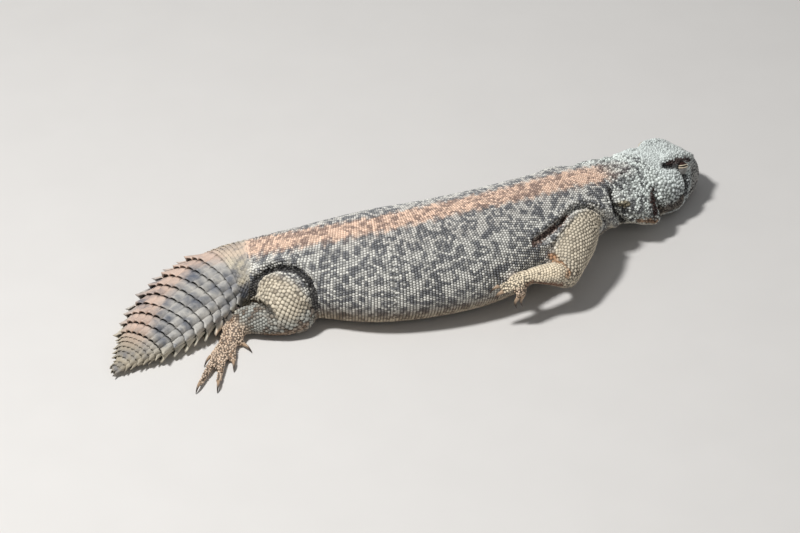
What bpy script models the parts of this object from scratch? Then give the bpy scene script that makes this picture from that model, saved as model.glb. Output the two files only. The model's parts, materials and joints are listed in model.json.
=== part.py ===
"""A life-size uromastyx basking on its belly, as a still model.

The head points along +X and is turned to the animal's left, the right side faces -Y, and the
short spiny tail lies on the floor, swung to the right. All sizes are in metres. Plan positions
are measured from PLAN_ORIGIN, which brings the middle of the footprint to the world origin.
"""

import math

import bmesh
import bpy
import numpy as np
from mathutils import Vector

GAP = 0.0003
PLAN_ORIGIN = Vector((0.0020, -0.0089, 0.0))

# The body's landmarks from the tail's tip to the snout. Plan position of the midline, half
# width, height of the back, clearance underneath, height of the widest level as a share of
# the body's depth, and how square the section is: 2 is an ellipse.
BODY_LANDMARKS = {
    "tail_tip": (-0.1115, -0.0210, 0.0032, 0.0045, 0.0, 0.40, 2.0),
    "tail_taper": (-0.1010, -0.0145, 0.0096, 0.0085, 0.0, 0.40, 2.0),
    "tail_disc": (-0.0875, -0.0055, 0.0146, 0.0118, 0.0, 0.38, 2.0),
    "tail_widest": (-0.0745, 0.0016, 0.0155, 0.0152, 0.0, 0.38, 2.1),
    "tail_root": (-0.0630, 0.0054, 0.0138, 0.0182, 0.0, 0.38, 2.1),
    "vent": (-0.0545, 0.0052, 0.0122, 0.0208, 0.0, 0.40, 2.1),
    "hips": (-0.0465, 0.0010, 0.0132, 0.0246, 0.0, 0.42, 2.1),
    "loin": (-0.0340, -0.0078, 0.0176, 0.0298, 0.0, 0.43, 2.1),
    "flank": (-0.0120, -0.0166, 0.0228, 0.0332, 0.0, 0.43, 2.15),
    "belly": (0.0150, -0.0190, 0.0238, 0.0328, 0.0, 0.42, 2.1),
    "ribs": (0.0380, -0.0156, 0.0198, 0.0320, 0.0008, 0.43, 2.1),
    "shoulders": (0.0590, -0.0106, 0.0156, 0.0302, 0.0045, 0.45, 2.1),
    "collar": (0.0720, -0.0066, 0.0130, 0.0268, 0.0058, 0.45, 2.05),
    "nape": (0.0845, -0.0030, 0.0136, 0.0236, 0.0020, 0.40, 2.0),
    "occiput": (0.0915, -0.0002, 0.0134, 0.0222, 0.0006, 0.36, 2.05),
    "jowls": (0.0975, 0.0022, 0.0140, 0.0222, 0.0, 0.32, 2.15),
    "eyes": (0.1028, 0.0044, 0.0117, 0.0216, 0.0, 0.38, 2.6),
    "muzzle": (0.1094, 0.0072, 0.0092, 0.0178, 0.0006, 0.40, 2.5),
    "snout": (0.1138, 0.0092, 0.0066, 0.0130, 0.0016, 0.42, 2.2),
    "snout_tip": (0.1160, 0.0102, 0.0030, 0.0090, 0.0034, 0.45, 2.0),
}
BODY_SIDES = 24
FLANK_UNDERCUT = 0.0024

# Lengths of body, as the landmarks between which each solid runs, with its number of rings.
BODY_LENGTHS = {
    "trunk_rear": ("vent", "flank", 9),
    "trunk_front": ("flank", "shoulders", 9),
    "neck": ("shoulders", "occiput", 7),
    "head": ("occiput", "snout_tip", 13),
}

# The tail's whorls: (piece, first landmark, last landmark, number of whorls).
TAIL_LENGTHS = (
    ("tail_tip", "tail_tip", "tail_taper", 4),
    ("tail_middle", "tail_taper", "tail_widest", 5),
    ("tail_base", "tail_widest", "vent", 4),
)
WHORL_RISE = 0.07
WHORL_STEP = 0.0005

# Limb joints: plan position and height of the centre, then half width and half height.
LIMBS = {
    "upper_arm_right": (
        (0.0588, -0.0200, 0.0180, 0.0077, 0.0076),
        (0.0534, -0.0288, 0.0164, 0.0081, 0.0079),
        (0.0476, -0.0370, 0.0148, 0.0068, 0.0069),
        (0.0445, -0.0426, 0.0134, 0.0050, 0.0050),
    ),
    "forearm_right": (
        (0.0440, -0.0440, 0.0126, 0.0046, 0.0046),
        (0.0356, -0.0450, 0.0168, 0.0042, 0.0040),
        (0.0282, -0.0452, 0.0180, 0.0030, 0.0027),
    ),
    "thigh_right": (
        (-0.0475, -0.0060, 0.0110, 0.0070, 0.0070),
        (-0.0492, -0.0136, 0.0104, 0.0084, 0.0084),
        (-0.0486, -0.0188, 0.0096, 0.0086, 0.0086),
    ),
    "shin_right": (
        (-0.0450, -0.0218, 0.0062, 0.0058, 0.0062),
        (-0.0550, -0.0192, 0.0058, 0.0056, 0.0056),
        (-0.0635, -0.0152, 0.0052, 0.0044, 0.0046),
    ),
    "upper_arm_left": (
        (0.0600, -0.0020, 0.0140, 0.0070, 0.0070),
        (0.0560, 0.0065, 0.0120, 0.0070, 0.0070),
        (0.0490, 0.0130, 0.0074, 0.0054, 0.0054),
    ),
    "forearm_left": (
        (0.0485, 0.0140, 0.0060, 0.0048, 0.0048),
        (0.0570, 0.0165, 0.0056, 0.0044, 0.0042),
        (0.0650, 0.0175, 0.0044, 0.0034, 0.0030),
    ),
    "thigh_left": (
        (-0.0460, 0.0040, 0.0105, 0.0072, 0.0072),
        (-0.0370, 0.0085, 0.0098, 0.0074, 0.0074),
        (-0.0280, 0.0120, 0.0080, 0.0062, 0.0062),
    ),
    "shin_left": (
        (-0.0260, 0.0140, 0.0060, 0.0054, 0.0054),
        (-0.0350, 0.0178, 0.0054, 0.0050, 0.0050),
        (-0.0440, 0.0205, 0.0046, 0.0040, 0.0042),
    ),
}
LIMB_SIDES = 12
LIMB_STEPS = 6

# Palms and soles, each from wrist or heel to the roots of the toes.
PALMS = {
    "hand_right": (
        (0.0278, -0.0454, 0.0180, 0.0032, 0.0026),
        (0.0238, -0.0458, 0.0174, 0.0034, 0.0022),
    ),
    "foot_right": (
        (-0.0652, -0.0150, 0.0036, 0.0034, 0.0034),
        (-0.0708, -0.0206, 0.0024, 0.0040, 0.0026),
    ),
    "hand_left": (
        (0.0655, 0.0177, 0.0036, 0.0034, 0.0030),
        (0.0710, 0.0195, 0.0022, 0.0042, 0.0022),
    ),
    "foot_left": (
        (-0.0450, 0.0208, 0.0036, 0.0034, 0.0034),
        (-0.0405, 0.0255, 0.0024, 0.0040, 0.0026),
    ),
}

# Toes: root, middle and end of each, first toe first. Widths come from TOE_RADII.
TOES = {
    "hand_right": (
        ((0.0262, -0.0470, 0.0168), (0.0254, -0.0484, 0.0150), (0.0252, -0.0484, 0.0132)),
        ((0.0246, -0.0476, 0.0170), (0.0236, -0.0488, 0.0154), (0.0232, -0.0486, 0.0132)),
        ((0.0232, -0.0470, 0.0172), (0.0208, -0.0474, 0.0165), (0.0190, -0.0470, 0.0154)),
        ((0.0230, -0.0458, 0.0176), (0.0204, -0.0460, 0.0176), (0.0180, -0.0460, 0.0170)),
        ((0.0240, -0.0448, 0.0174), (0.0216, -0.0450, 0.0162), (0.0198, -0.0452, 0.0146)),
    ),
    "foot_right": (
        ((-0.0682, -0.0196, 0.0018), (-0.0678, -0.0214, 0.0016), (-0.0672, -0.0230, 0.0013)),
        ((-0.0700, -0.0206, 0.0020), (-0.0720, -0.0262, 0.0018), (-0.0736, -0.0308, 0.0014)),
        ((-0.0722, -0.0212, 0.0021), (-0.0774, -0.0305, 0.0021), (-0.0822, -0.0398, 0.0014)),
        ((-0.0732, -0.0202, 0.0021), (-0.0802, -0.0292, 0.0022), (-0.0880, -0.0382, 0.0014)),
        ((-0.0720, -0.0196, 0.0020), (-0.0758, -0.0226, 0.0016), (-0.0796, -0.0258, 0.0013)),
    ),
    "hand_left": (
        ((0.0690, 0.0170, 0.0018), (0.0725, 0.0148, 0.0016), (0.0755, 0.0132, 0.0012)),
        ((0.0710, 0.0178, 0.0018), (0.0755, 0.0172, 0.0017), (0.0795, 0.0168, 0.0012)),
        ((0.0722, 0.0195, 0.0018), (0.0768, 0.0200, 0.0017), (0.0812, 0.0204, 0.0012)),
        ((0.0722, 0.0210, 0.0018), (0.0762, 0.0226, 0.0017), (0.0800, 0.0240, 0.0012)),
        ((0.0705, 0.0220, 0.0018), (0.0728, 0.0242, 0.0016), (0.0748, 0.0258, 0.0012)),
    ),
    "foot_left": (
        ((-0.0398, 0.0232, 0.0018), (-0.0362, 0.0226, 0.0016), (-0.0332, 0.0222, 0.0012)),
        ((-0.0385, 0.0244, 0.0019), (-0.0328, 0.0244, 0.0018), (-0.0280, 0.0244, 0.0012)),
        ((-0.0378, 0.0256, 0.0020), (-0.0300, 0.0262, 0.0019), (-0.0225, 0.0268, 0.0012)),
        ((-0.0382, 0.0268, 0.0020), (-0.0300, 0.0282, 0.0019), (-0.0222, 0.0294, 0.0012)),
        ((-0.0415, 0.0278, 0.0018), (-0.0388, 0.0292, 0.0016), (-0.0358, 0.0302, 0.0012)),
    ),
}
TOE_RADII = {"hand": (0.0013, 0.0012, 0.0010), "foot": (0.0015, 0.0014, 0.0011)}
TOE_SIDES = 6
TOE_STEPS = 3

CLAW_LENGTH = {"hand": 0.0024, "foot": 0.0030}
CLAW_ROOT_RADIUS = 0.00070
CLAW_TIP_RADIUS = 0.00028
CLAW_SIDES = 5
CLAW_SOURCE_LIFT = 0.0002

EYE_RADIUS = 0.0033
EYE_DEPTH = 0.0036
EYE_SETBACK = 0.0010
EYE_HEIGHT = 0.0162
EYE_SEGMENTS = 12
EYE_RINGS = 8

JAW_TOP = 0.0052
JAW_CORNER = 0.42  # share of the way from the jowls to the eyes at which the jaw's solid begins

COLOURS = {
    "trunk": ((0.47, 0.45, 0.42), 0.75),
    "tail": ((0.42, 0.43, 0.43), 0.65),
    "head": ((0.55, 0.58, 0.57), 0.70),
    "limb": ((0.62, 0.56, 0.45), 0.75),
    "claw": ((0.16, 0.11, 0.08), 0.35),
    "eye": ((0.05, 0.03, 0.02), 0.08),
}


def smooth(stations, values, at, rounded=False):
    """Values on a smooth curve through the stations. It never overshoots them, unless it is
    rounded, which spreads a bend evenly over its neighbours."""
    x = np.asarray(stations, float)
    y = np.asarray(values, float)
    width = np.diff(x)
    slope = np.diff(y) / width
    tangent = np.empty(len(x))
    tangent[0] = slope[0]
    tangent[-1] = slope[-1]
    for i in range(1, len(x) - 1):
        before, after = slope[i - 1], slope[i]
        if rounded:
            tangent[i] = (y[i + 1] - y[i - 1]) / (x[i + 1] - x[i - 1])
        elif before * after <= 0:
            tangent[i] = 0.0
        else:
            tangent[i] = 2 * before * after / (before + after)
    at = np.asarray(at, float)
    i = np.clip(np.searchsorted(x, at) - 1, 0, len(x) - 2)
    t = (at - x[i]) / width[i]
    return (
        y[i] * (1 + 2 * t) * (1 - t) ** 2
        + tangent[i] * width[i] * t * (1 - t) ** 2
        + y[i + 1] * t**2 * (3 - 2 * t)
        + tangent[i + 1] * width[i] * t**2 * (t - 1)
    )


def path_lengths(points):
    steps = np.linalg.norm(np.diff(np.asarray(points, float), axis=0), axis=1)
    return np.concatenate([[0.0], np.cumsum(steps)])


LANDMARK_NAMES = list(BODY_LANDMARKS)
LANDMARK_VALUES = np.array(list(BODY_LANDMARKS.values()))
LANDMARK_ALONG = path_lengths(LANDMARK_VALUES[:, :2])


def along(name):
    """Distance of a landmark from the tail's tip, measured along the midline."""
    return LANDMARK_ALONG[LANDMARK_NAMES.index(name)]


def body_at(distance):
    """Midline x and y, half width, back, clearance, widest share and squareness there."""
    return [
        float(smooth(LANDMARK_ALONG, LANDMARK_VALUES[:, column], distance, column < 2))
        for column in range(LANDMARK_VALUES.shape[1])
    ]


def heading_at(distance):
    nudge = 0.0005
    low = max(distance - nudge, 0.0)
    high = min(distance + nudge, LANDMARK_ALONG[-1])
    x0, y0 = body_at(low)[:2]
    x1, y1 = body_at(high)[:2]
    return math.atan2(y1 - y0, x1 - x0)


def signed_power(value, power):
    return math.copysign(abs(value) ** power, value)


def body_ring(distance, swell=1.0, grow=0.0):
    """A cross section of the body: a rounded arch over a flat belly."""
    x, y, half_width, back, clearance, widest, square = body_at(distance)
    heading = heading_at(distance)
    side = Vector((math.sin(heading), -math.cos(heading), 0.0))
    middle = clearance + widest * (back - clearance)
    rise = back - middle
    fall = middle - clearance + FLANK_UNDERCUT
    ring = []
    for i in range(BODY_SIDES):
        angle = 2 * math.pi * i / BODY_SIDES
        across = signed_power(math.cos(angle), 2 / square) * (half_width * swell + grow)
        up = signed_power(math.sin(angle), 2 / square)
        height = up * (rise * swell + grow if up > 0 else fall + grow)
        point = Vector((x, y, 0.0)) + side * across
        point.z = max(middle + height, clearance - grow)
        ring.append(point)
    return ring


def mesh_object(name, mesh, colour, collection):
    obj = bpy.data.objects.new(name, mesh)
    collection.objects.link(obj)
    if colour is not None:
        mesh.materials.append(material(colour))
    mesh.shade_smooth()
    return obj


def loft(name, rings, colour, collection):
    """One closed surface through rings of equal size, with a fan over each end."""
    shape = bmesh.new()
    sides = len(rings[0])
    rows = [[shape.verts.new(point - PLAN_ORIGIN) for point in ring] for ring in rings]
    for lower, upper in zip(rows, rows[1:]):
        for i in range(sides):
            j = (i + 1) % sides
            shape.faces.new((lower[i], lower[j], upper[j], upper[i]))
    for row in (rows[0], rows[-1]):
        shape.faces.new(row)
    bmesh.ops.recalc_face_normals(shape, faces=shape.faces)
    if shape.calc_volume(signed=True) < 0:
        bmesh.ops.reverse_faces(shape, faces=shape.faces)
    mesh = bpy.data.meshes.new(name)
    shape.to_mesh(mesh)
    shape.free()
    return mesh_object(name, mesh, colour, collection)


def tube_rings(knots, sides, steps, grow=0.0):
    """Rings along a smooth path through knots of (x, y, z, half width, half height), with
    rounded ends. Nothing reaches below the floor, so what rests there has a flat."""
    knots = np.asarray(knots, float)
    lengths = path_lengths(knots[:, :3])
    total = lengths[-1]

    def at(distance):
        inside = min(max(distance, 0.0), total)
        return np.array([float(smooth(lengths, knots[:, c], inside)) for c in range(5)])

    nudge = total * 0.02
    start_round = knots[0, 3] * 0.8 + grow
    end_round = knots[-1, 3] * 0.8 + grow
    spots = [(0.0, -start_round * math.sin(a), math.cos(a)) for a in (1.35, 0.8)]
    spots += [(total * i / steps, 0.0, 1.0) for i in range(steps + 1)]
    spots += [(total, end_round * math.sin(a), math.cos(a)) for a in (0.8, 1.35)]
    rings = []
    for distance, beyond, share in spots:
        here = at(distance)
        ahead = Vector((at(distance + nudge) - at(distance - nudge))[:3]).normalized()
        centre = Vector(here[:3]) + ahead * beyond
        side = ahead.cross(Vector((0, 0, 1))).normalized()
        up = side.cross(ahead)
        ring = []
        for i in range(sides):
            angle = 2 * math.pi * i / sides
            across = side * math.cos(angle) * (here[3] + grow) * share
            over = up * math.sin(angle) * (here[4] + grow) * share
            point = centre + across + over
            point.z = max(point.z, 0.0 if grow == 0 else -grow)
            ring.append(point)
        rings.append(ring)
    return rings


def material(name):
    colour, roughness = COLOURS[name]
    found = bpy.data.materials.get(name)
    if found:
        return found
    made = bpy.data.materials.new(name)
    made.use_nodes = True
    shader = made.node_tree.nodes["Principled BSDF"]
    shader.inputs["Base Color"].default_value = (*colour, 1.0)
    shader.inputs["Roughness"].default_value = roughness
    shader.inputs["Metallic"].default_value = 0.0
    made.diffuse_color = (*colour, 1.0)
    return made


def add_boolean(obj, other, operation, solver="EXACT"):
    modifier = obj.modifiers.new(operation.lower(), "BOOLEAN")
    modifier.operation = operation
    modifier.object = other
    modifier.solver = solver


def make_helper(obj):
    obj.hide_render = True
    obj.display_type = "WIRE"
    return obj


def span(first, last, rings):
    """Distances of the rings between two cut planes, each half a gap inside its landmark."""
    start = along(first) + (GAP / 2 if first != LANDMARK_NAMES[0] else 0.0)
    end = along(last) - (GAP / 2 if last != LANDMARK_NAMES[-1] else 0.0)
    return np.linspace(start, end, rings)


def add_tail(collection):
    """Each whorl widens to its rear rim, where its spines end, and then steps in."""
    for name, first, last, whorls in TAIL_LENGTHS:
        limits = span(first, last, whorls + 1)
        rings = []
        for rear, front in zip(limits, limits[1:]):
            rings.append(body_ring(rear + (WHORL_STEP if rings else 0.0), 1 + WHORL_RISE))
            rings.append(body_ring(front, 1.0))
        loft(name, rings, "tail", collection)


def add_body(collection):
    for name, (first, last, count) in BODY_LENGTHS.items():
        rings = [body_ring(distance) for distance in span(first, last, count)]
        loft(name, rings, "head" if name == "head" else "trunk", collection)


def body_clearance(cutters):
    """The body a gap larger all round, which trims the limbs where they leave it."""
    rings = []
    for distance in np.linspace(0.0, LANDMARK_ALONG[-1], 60):
        swell = 1 + WHORL_RISE if distance < along("vent") else 1.0
        rings.append(body_ring(distance, swell, GAP))
    return make_helper(loft("body_clearance", rings, None, cutters))


def eye_place(side):
    """Centre of an eye, set into the side of the head."""
    distance = along("eyes") - EYE_SETBACK
    x, y, half_width = body_at(distance)[:3]
    heading = heading_at(distance)
    outward = Vector((math.sin(heading), -math.cos(heading), 0.0)) * side
    centre = Vector((x, y, 0.0)) + outward * (half_width - EYE_DEPTH)
    centre.z = EYE_HEIGHT
    return centre - PLAN_ORIGIN


def ball(name, centre, radius, colour, collection):
    shape = bmesh.new()
    bmesh.ops.create_uvsphere(
        shape, u_segments=EYE_SEGMENTS, v_segments=EYE_RINGS, radius=radius
    )
    mesh = bpy.data.meshes.new(name)
    shape.to_mesh(mesh)
    shape.free()
    obj = mesh_object(name, mesh, colour, collection)
    obj.location = centre
    return obj


def add_eyes(collection, cutters):
    head = bpy.data.objects["head"]
    for side, name in ((1, "right"), (-1, "left")):
        centre = eye_place(side)
        ball(f"eye_{name}", centre, EYE_RADIUS, "eye", collection)
        socket = ball(f"socket_{name}", centre, EYE_RADIUS + GAP, None, cutters)
        add_boolean(head, make_helper(socket), "DIFFERENCE")


def jaw_block(name, top, rear, cutters):
    """A block under the mouth line, from the corner of the jaw forward past the snout."""
    x, y = body_at(rear)[:2]
    heading = heading_at(along("eyes"))
    length, width, depth = 0.040, 0.040, 0.010
    shape = bmesh.new()
    bmesh.ops.create_cube(shape, size=1.0)
    bmesh.ops.scale(shape, vec=(length, width, depth), verts=shape.verts)
    mesh = bpy.data.meshes.new(name)
    shape.to_mesh(mesh)
    shape.free()
    obj = make_helper(mesh_object(name, mesh, None, cutters))
    forward = Vector((math.cos(heading), math.sin(heading), 0.0))
    obj.location = Vector((x, y, top - depth / 2)) + forward * length / 2 - PLAN_ORIGIN
    obj.rotation_euler = (0.0, 0.0, heading)
    return obj


def add_lower_jaw(collection, cutters):
    rear = along("jowls") + JAW_CORNER * (along("eyes") - along("jowls"))
    head = bpy.data.objects["head"]
    rings = [body_ring(distance) for distance in span("occiput", "snout_tip", 13)]
    jaw = loft("lower_jaw", rings, "head", collection)
    add_boolean(jaw, jaw_block("jaw_shape", JAW_TOP, rear, cutters), "INTERSECT")
    clearance = jaw_block("jaw_clearance", JAW_TOP + GAP, rear - GAP, cutters)
    add_boolean(head, clearance, "DIFFERENCE")


def add_limbs(collection, cutters, body):
    """Each upper length is trimmed by the body, and each lower one by the upper."""
    clearances = {}
    for name, knots in LIMBS.items():
        rings = tube_rings(knots, LIMB_SIDES, LIMB_STEPS, GAP)
        clearances[name] = make_helper(loft(f"{name}_clearance", rings, None, cutters))
    for name, knots in LIMBS.items():
        limb = loft(name, tube_rings(knots, LIMB_SIDES, LIMB_STEPS), "limb", collection)
        add_boolean(limb, body, "DIFFERENCE")
        side = name.rsplit("_", 1)[1]
        if name.startswith("forearm"):
            add_boolean(limb, clearances[f"upper_arm_{side}"], "DIFFERENCE")
        if name.startswith("shin"):
            add_boolean(limb, clearances[f"thigh_{side}"], "DIFFERENCE")
    return clearances


def toe_knots(kind, points):
    return [(*point, radius, radius) for point, radius in zip(points, TOE_RADII[kind])]


def add_feet(collection, cutters, clearances, body):
    for name, palm in PALMS.items():
        kind, side = name.split("_")
        foot = loft(name, tube_rings(palm, LIMB_SIDES, 2), "limb", collection)
        for number, points in enumerate(TOES[name], 1):
            rings = tube_rings(toe_knots(kind, points), TOE_SIDES, TOE_STEPS)
            toe = make_helper(loft(f"{name}_toe_{number}", rings, None, cutters))
            add_boolean(foot, toe, "UNION", "MANIFOLD")
        add_boolean(foot, body, "DIFFERENCE", "MANIFOLD")
        limb = f"forearm_{side}" if kind == "hand" else f"shin_{side}"
        add_boolean(foot, clearances[limb], "DIFFERENCE", "MANIFOLD")


def add_claws(collection):
    """A claw goes on along its toe, just clear of the toe's rounded end, and curves down."""
    for name, toes in TOES.items():
        kind = name.split("_")[0]
        length = CLAW_LENGTH[kind]
        toe_end = TOE_RADII[kind][-1] * 0.8
        for number, (_, middle, end) in enumerate(toes, 1):
            ahead = (Vector(end) - Vector(middle)).normalized()
            root_rounding = CLAW_ROOT_RADIUS * 0.8
            root = Vector(end) + ahead * (toe_end + GAP + root_rounding)
            root.z += CLAW_SOURCE_LIFT
            tip = root + ahead * length
            tip.z = max(tip.z - length * 0.35, CLAW_TIP_RADIUS)
            bend = (root + tip) / 2 + Vector((0, 0, length * 0.12))
            mid_radius = (CLAW_ROOT_RADIUS + CLAW_TIP_RADIUS) / 2
            knots = [
                (*root, CLAW_ROOT_RADIUS, CLAW_ROOT_RADIUS),
                (*bend, mid_radius, mid_radius),
                (*tip, CLAW_TIP_RADIUS, CLAW_TIP_RADIUS),
            ]
            rings = tube_rings(knots, CLAW_SIDES, 2)
            loft(f"claw_{name}_{number}", rings, "claw", collection)


def new_collection(name):
    collection = bpy.data.collections.new(name)
    bpy.context.scene.collection.children.link(collection)
    return collection


def build():
    for obj in list(bpy.data.objects):
        bpy.data.objects.remove(obj, do_unlink=True)
    collection = new_collection("uromastyx")
    cutters = new_collection("cutters")
    add_tail(collection)
    add_body(collection)
    add_eyes(collection, cutters)
    add_lower_jaw(collection, cutters)
    body = body_clearance(cutters)
    clearances = add_limbs(collection, cutters, body)
    add_feet(collection, cutters, clearances, body)
    add_claws(collection)


build()
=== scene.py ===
"""The looks of a life-size uromastyx: one skin over the body, with its scales as solid mesh.

Everything is in metres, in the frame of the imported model. The animal's head points along +X,
its right side faces -Y, and it rests on the floor at z = 0.
"""

import json
import math

import bmesh
import bpy
import numpy as np
from mathutils import Matrix, Vector
from mathutils.bvhtree import BVHTree
from mathutils.kdtree import KDTree

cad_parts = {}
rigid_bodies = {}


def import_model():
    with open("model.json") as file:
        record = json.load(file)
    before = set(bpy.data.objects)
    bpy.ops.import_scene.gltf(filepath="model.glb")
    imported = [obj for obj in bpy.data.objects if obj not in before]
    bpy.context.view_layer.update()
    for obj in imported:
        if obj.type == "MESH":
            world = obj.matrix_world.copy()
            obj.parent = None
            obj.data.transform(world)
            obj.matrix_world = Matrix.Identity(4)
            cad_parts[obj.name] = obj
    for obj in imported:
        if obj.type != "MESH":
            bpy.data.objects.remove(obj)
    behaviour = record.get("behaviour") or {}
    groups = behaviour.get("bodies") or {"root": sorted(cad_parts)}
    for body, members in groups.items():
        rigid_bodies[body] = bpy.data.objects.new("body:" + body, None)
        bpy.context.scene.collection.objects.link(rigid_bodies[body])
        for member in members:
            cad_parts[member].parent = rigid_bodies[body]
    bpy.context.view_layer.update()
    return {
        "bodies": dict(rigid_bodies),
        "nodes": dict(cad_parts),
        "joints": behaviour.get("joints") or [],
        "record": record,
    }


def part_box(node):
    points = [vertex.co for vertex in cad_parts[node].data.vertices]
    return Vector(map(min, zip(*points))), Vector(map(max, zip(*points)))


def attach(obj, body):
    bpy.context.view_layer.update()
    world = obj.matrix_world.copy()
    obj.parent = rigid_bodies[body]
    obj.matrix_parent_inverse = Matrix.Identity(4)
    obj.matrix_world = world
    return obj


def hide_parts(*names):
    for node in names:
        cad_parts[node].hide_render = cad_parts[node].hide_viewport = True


MM = 0.001
SEED = 20

# The camera: the photograph's viewing angle, and its frame in pixels.
VIEW_AZIMUTH = math.radians(-22.5)
VIEW_ELEVATION = math.radians(35.5)
CAMERA_DISTANCE = 1.6
CAMERA_TARGET = Vector((-0.0020, 0.0089, 0.0))
FRAME_WIDTH = 800
FRAME_HEIGHT = 533
PIXELS_PER_METRE = 2880.0
SENSOR_WIDTH_MM = 36.0

# The midline in plan from the tail's tip to the snout, as x, y and half width.
MIDLINE = {
    "tail_tip": (-0.1135, -0.0121, 0.0032),
    "tail_taper": (-0.1030, -0.0056, 0.0096),
    "tail_disc": (-0.0895, 0.0034, 0.0146),
    "tail_widest": (-0.0765, 0.0105, 0.0155),
    "tail_root": (-0.0650, 0.0143, 0.0138),
    "vent": (-0.0565, 0.0141, 0.0122),
    "hips": (-0.0485, 0.0099, 0.0132),
    "loin": (-0.0360, 0.0011, 0.0176),
    "flank": (-0.0140, -0.0077, 0.0228),
    "belly": (0.0130, -0.0101, 0.0238),
    "ribs": (0.0360, -0.0067, 0.0198),
    "shoulders": (0.0570, -0.0017, 0.0156),
    "collar": (0.0700, 0.0023, 0.0130),
    "nape": (0.0825, 0.0059, 0.0136),
    "occiput": (0.0895, 0.0087, 0.0134),
    "jowls": (0.0955, 0.0111, 0.0140),
    "eyes": (0.1008, 0.0133, 0.0117),
    "muzzle": (0.1074, 0.0161, 0.0092),
    "snout_tip": (0.1140, 0.0191, 0.0030),
}

TAIL_NODES = ("tail_tip", "tail_middle", "tail_base")
BODY_NODES = TAIL_NODES + ("trunk_rear", "trunk_front", "neck", "head", "lower_jaw")
EYE_NODES = ("eye_right", "eye_left")
LIMB_NODES = tuple(
    f"{part}_{side}"
    for side in ("right", "left")
    for part in ("upper_arm", "forearm", "thigh", "shin")
)
FOOT_NODES = tuple(f"{part}_{side}" for side in ("right", "left") for part in ("hand", "foot"))
FLESH_NODES = BODY_NODES + LIMB_NODES + FOOT_NODES

# The skin's mesh: how far the solids grow to close the cuts between them, and how deep the
# skin then lies under the tips of its scales.
CLOSING = 0.35 * MM
VOXEL = 0.66 * MM
SMOOTH_ROUNDS = 24
FOOT_KEPT = 0.75
ROUNDS = 44
ROUNDING = {"tail": 0.8, "trunk": 0.95, "head": 0.28, "limb": 0.34, "foot": 0.0}
COAT_DEPTH = {
    "tail": 0.85 * MM, "trunk": 0.34 * MM, "head": 0.30 * MM, "limb": 0.34 * MM, "foot": 0.30 * MM,
}
REGION_BLUR = 6
SHIN_BLUR = 8
SKIN_CLEARANCE = 0.1 * MM
SCALE_CLEARANCE = 0.02 * MM

random = np.random.default_rng(SEED)


# Small helpers

def unit(vectors):
    vectors = np.asarray(vectors, float)
    size = np.linalg.norm(vectors, axis=-1, keepdims=True)
    return vectors / np.maximum(size, 1e-12)


def step(low, high, value):
    """0 below low, 1 above high, and smooth between them."""
    t = np.clip((np.asarray(value, float) - low) / (high - low), 0.0, 1.0)
    return t * t * (3 - 2 * t)


def faded(value, edge):
    """1 below an edge, falling to 0 above it."""
    return 1.0 - step(*edge, value)


def bell(distance, width):
    """1 at no distance, falling off to 0 at about twice the width."""
    return np.exp(-((distance / width) ** 2))


def lerp(a, b, share):
    return a + (b - a) * share


def blend(a, b, share):
    """Colours or points between a and b, with one share for each."""
    return a + (b - a) * np.asarray(share, float)[:, None]


def linear(*rgb):
    """Linear colour from 0 to 255 display values."""
    c = np.array(rgb, float) / 255.0
    return np.where(c <= 0.04045, c / 12.92, ((c + 0.055) / 1.055) ** 2.4)


def region_of(node):
    """The kind of coat that a CAD node carries."""
    if node in TAIL_NODES:
        return "tail"
    if node in ("head", "lower_jaw"):
        return "head"
    if node in FOOT_NODES:
        return "foot"
    return "limb" if node in LIMB_NODES else "trunk"


# The camera

def camera_axes():
    a, e = VIEW_AZIMUTH, VIEW_ELEVATION
    right = Vector((math.cos(a), math.sin(a), 0.0))
    back = Vector((math.sin(a) * math.cos(e), -math.cos(a) * math.cos(e), math.sin(e)))
    return right, back.cross(right), back


def add_camera():
    right, up, back = camera_axes()
    data = bpy.data.cameras.new("camera")
    data.sensor_width = SENSOR_WIDTH_MM
    data.lens = PIXELS_PER_METRE * CAMERA_DISTANCE * SENSOR_WIDTH_MM / FRAME_WIDTH
    data.clip_start = 0.05
    data.clip_end = 50.0
    camera = bpy.data.objects.new("camera", data)
    bpy.context.scene.collection.objects.link(camera)
    turn = Matrix((right, up, back)).transposed().to_4x4()
    camera.matrix_world = Matrix.Translation(CAMERA_TARGET + back * CAMERA_DISTANCE) @ turn
    bpy.context.scene.camera = camera


def seen_at(surface, pixel):
    """The point of a surface that the camera sees at a pixel of the photograph's frame."""
    right, up, back = camera_axes()
    across = (pixel[0] - FRAME_WIDTH / 2) / PIXELS_PER_METRE
    above = (FRAME_HEIGHT / 2 - pixel[1]) / PIXELS_PER_METRE
    ray = right * across + up * above - back * CAMERA_DISTANCE
    hit = surface.ray_cast(CAMERA_TARGET + back * CAMERA_DISTANCE, ray.normalized())[0]
    return None if hit is None else np.array(hit)


def seen_path(surface, pixels):
    points = [seen_at(surface, pixel) for pixel in pixels]
    return np.array([point for point in points if point is not None])


# The midline of the body

MIDLINE_POINTS = np.array(list(MIDLINE.values()))
MIDLINE_ALONG = np.concatenate(
    [[0.0], np.cumsum(np.linalg.norm(np.diff(MIDLINE_POINTS[:, :2], axis=0), axis=1))]
)


def along(name):
    return MIDLINE_ALONG[list(MIDLINE).index(name)]


def rounded(stations, values, at):
    """Values on a smooth curve through the stations."""
    x, y = stations, values
    tangent = np.gradient(y, x)
    at = np.clip(at, x[0], x[-1])
    i = np.clip(np.searchsorted(x, at) - 1, 0, len(x) - 2)
    width = x[i + 1] - x[i]
    t = (at - x[i]) / width
    return (
        y[i] * (1 + 2 * t) * (1 - t) ** 2
        + tangent[i] * width * t * (1 - t) ** 2
        + y[i + 1] * t**2 * (3 - 2 * t)
        + tangent[i + 1] * width * t**2 * (t - 1)
    )


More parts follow.
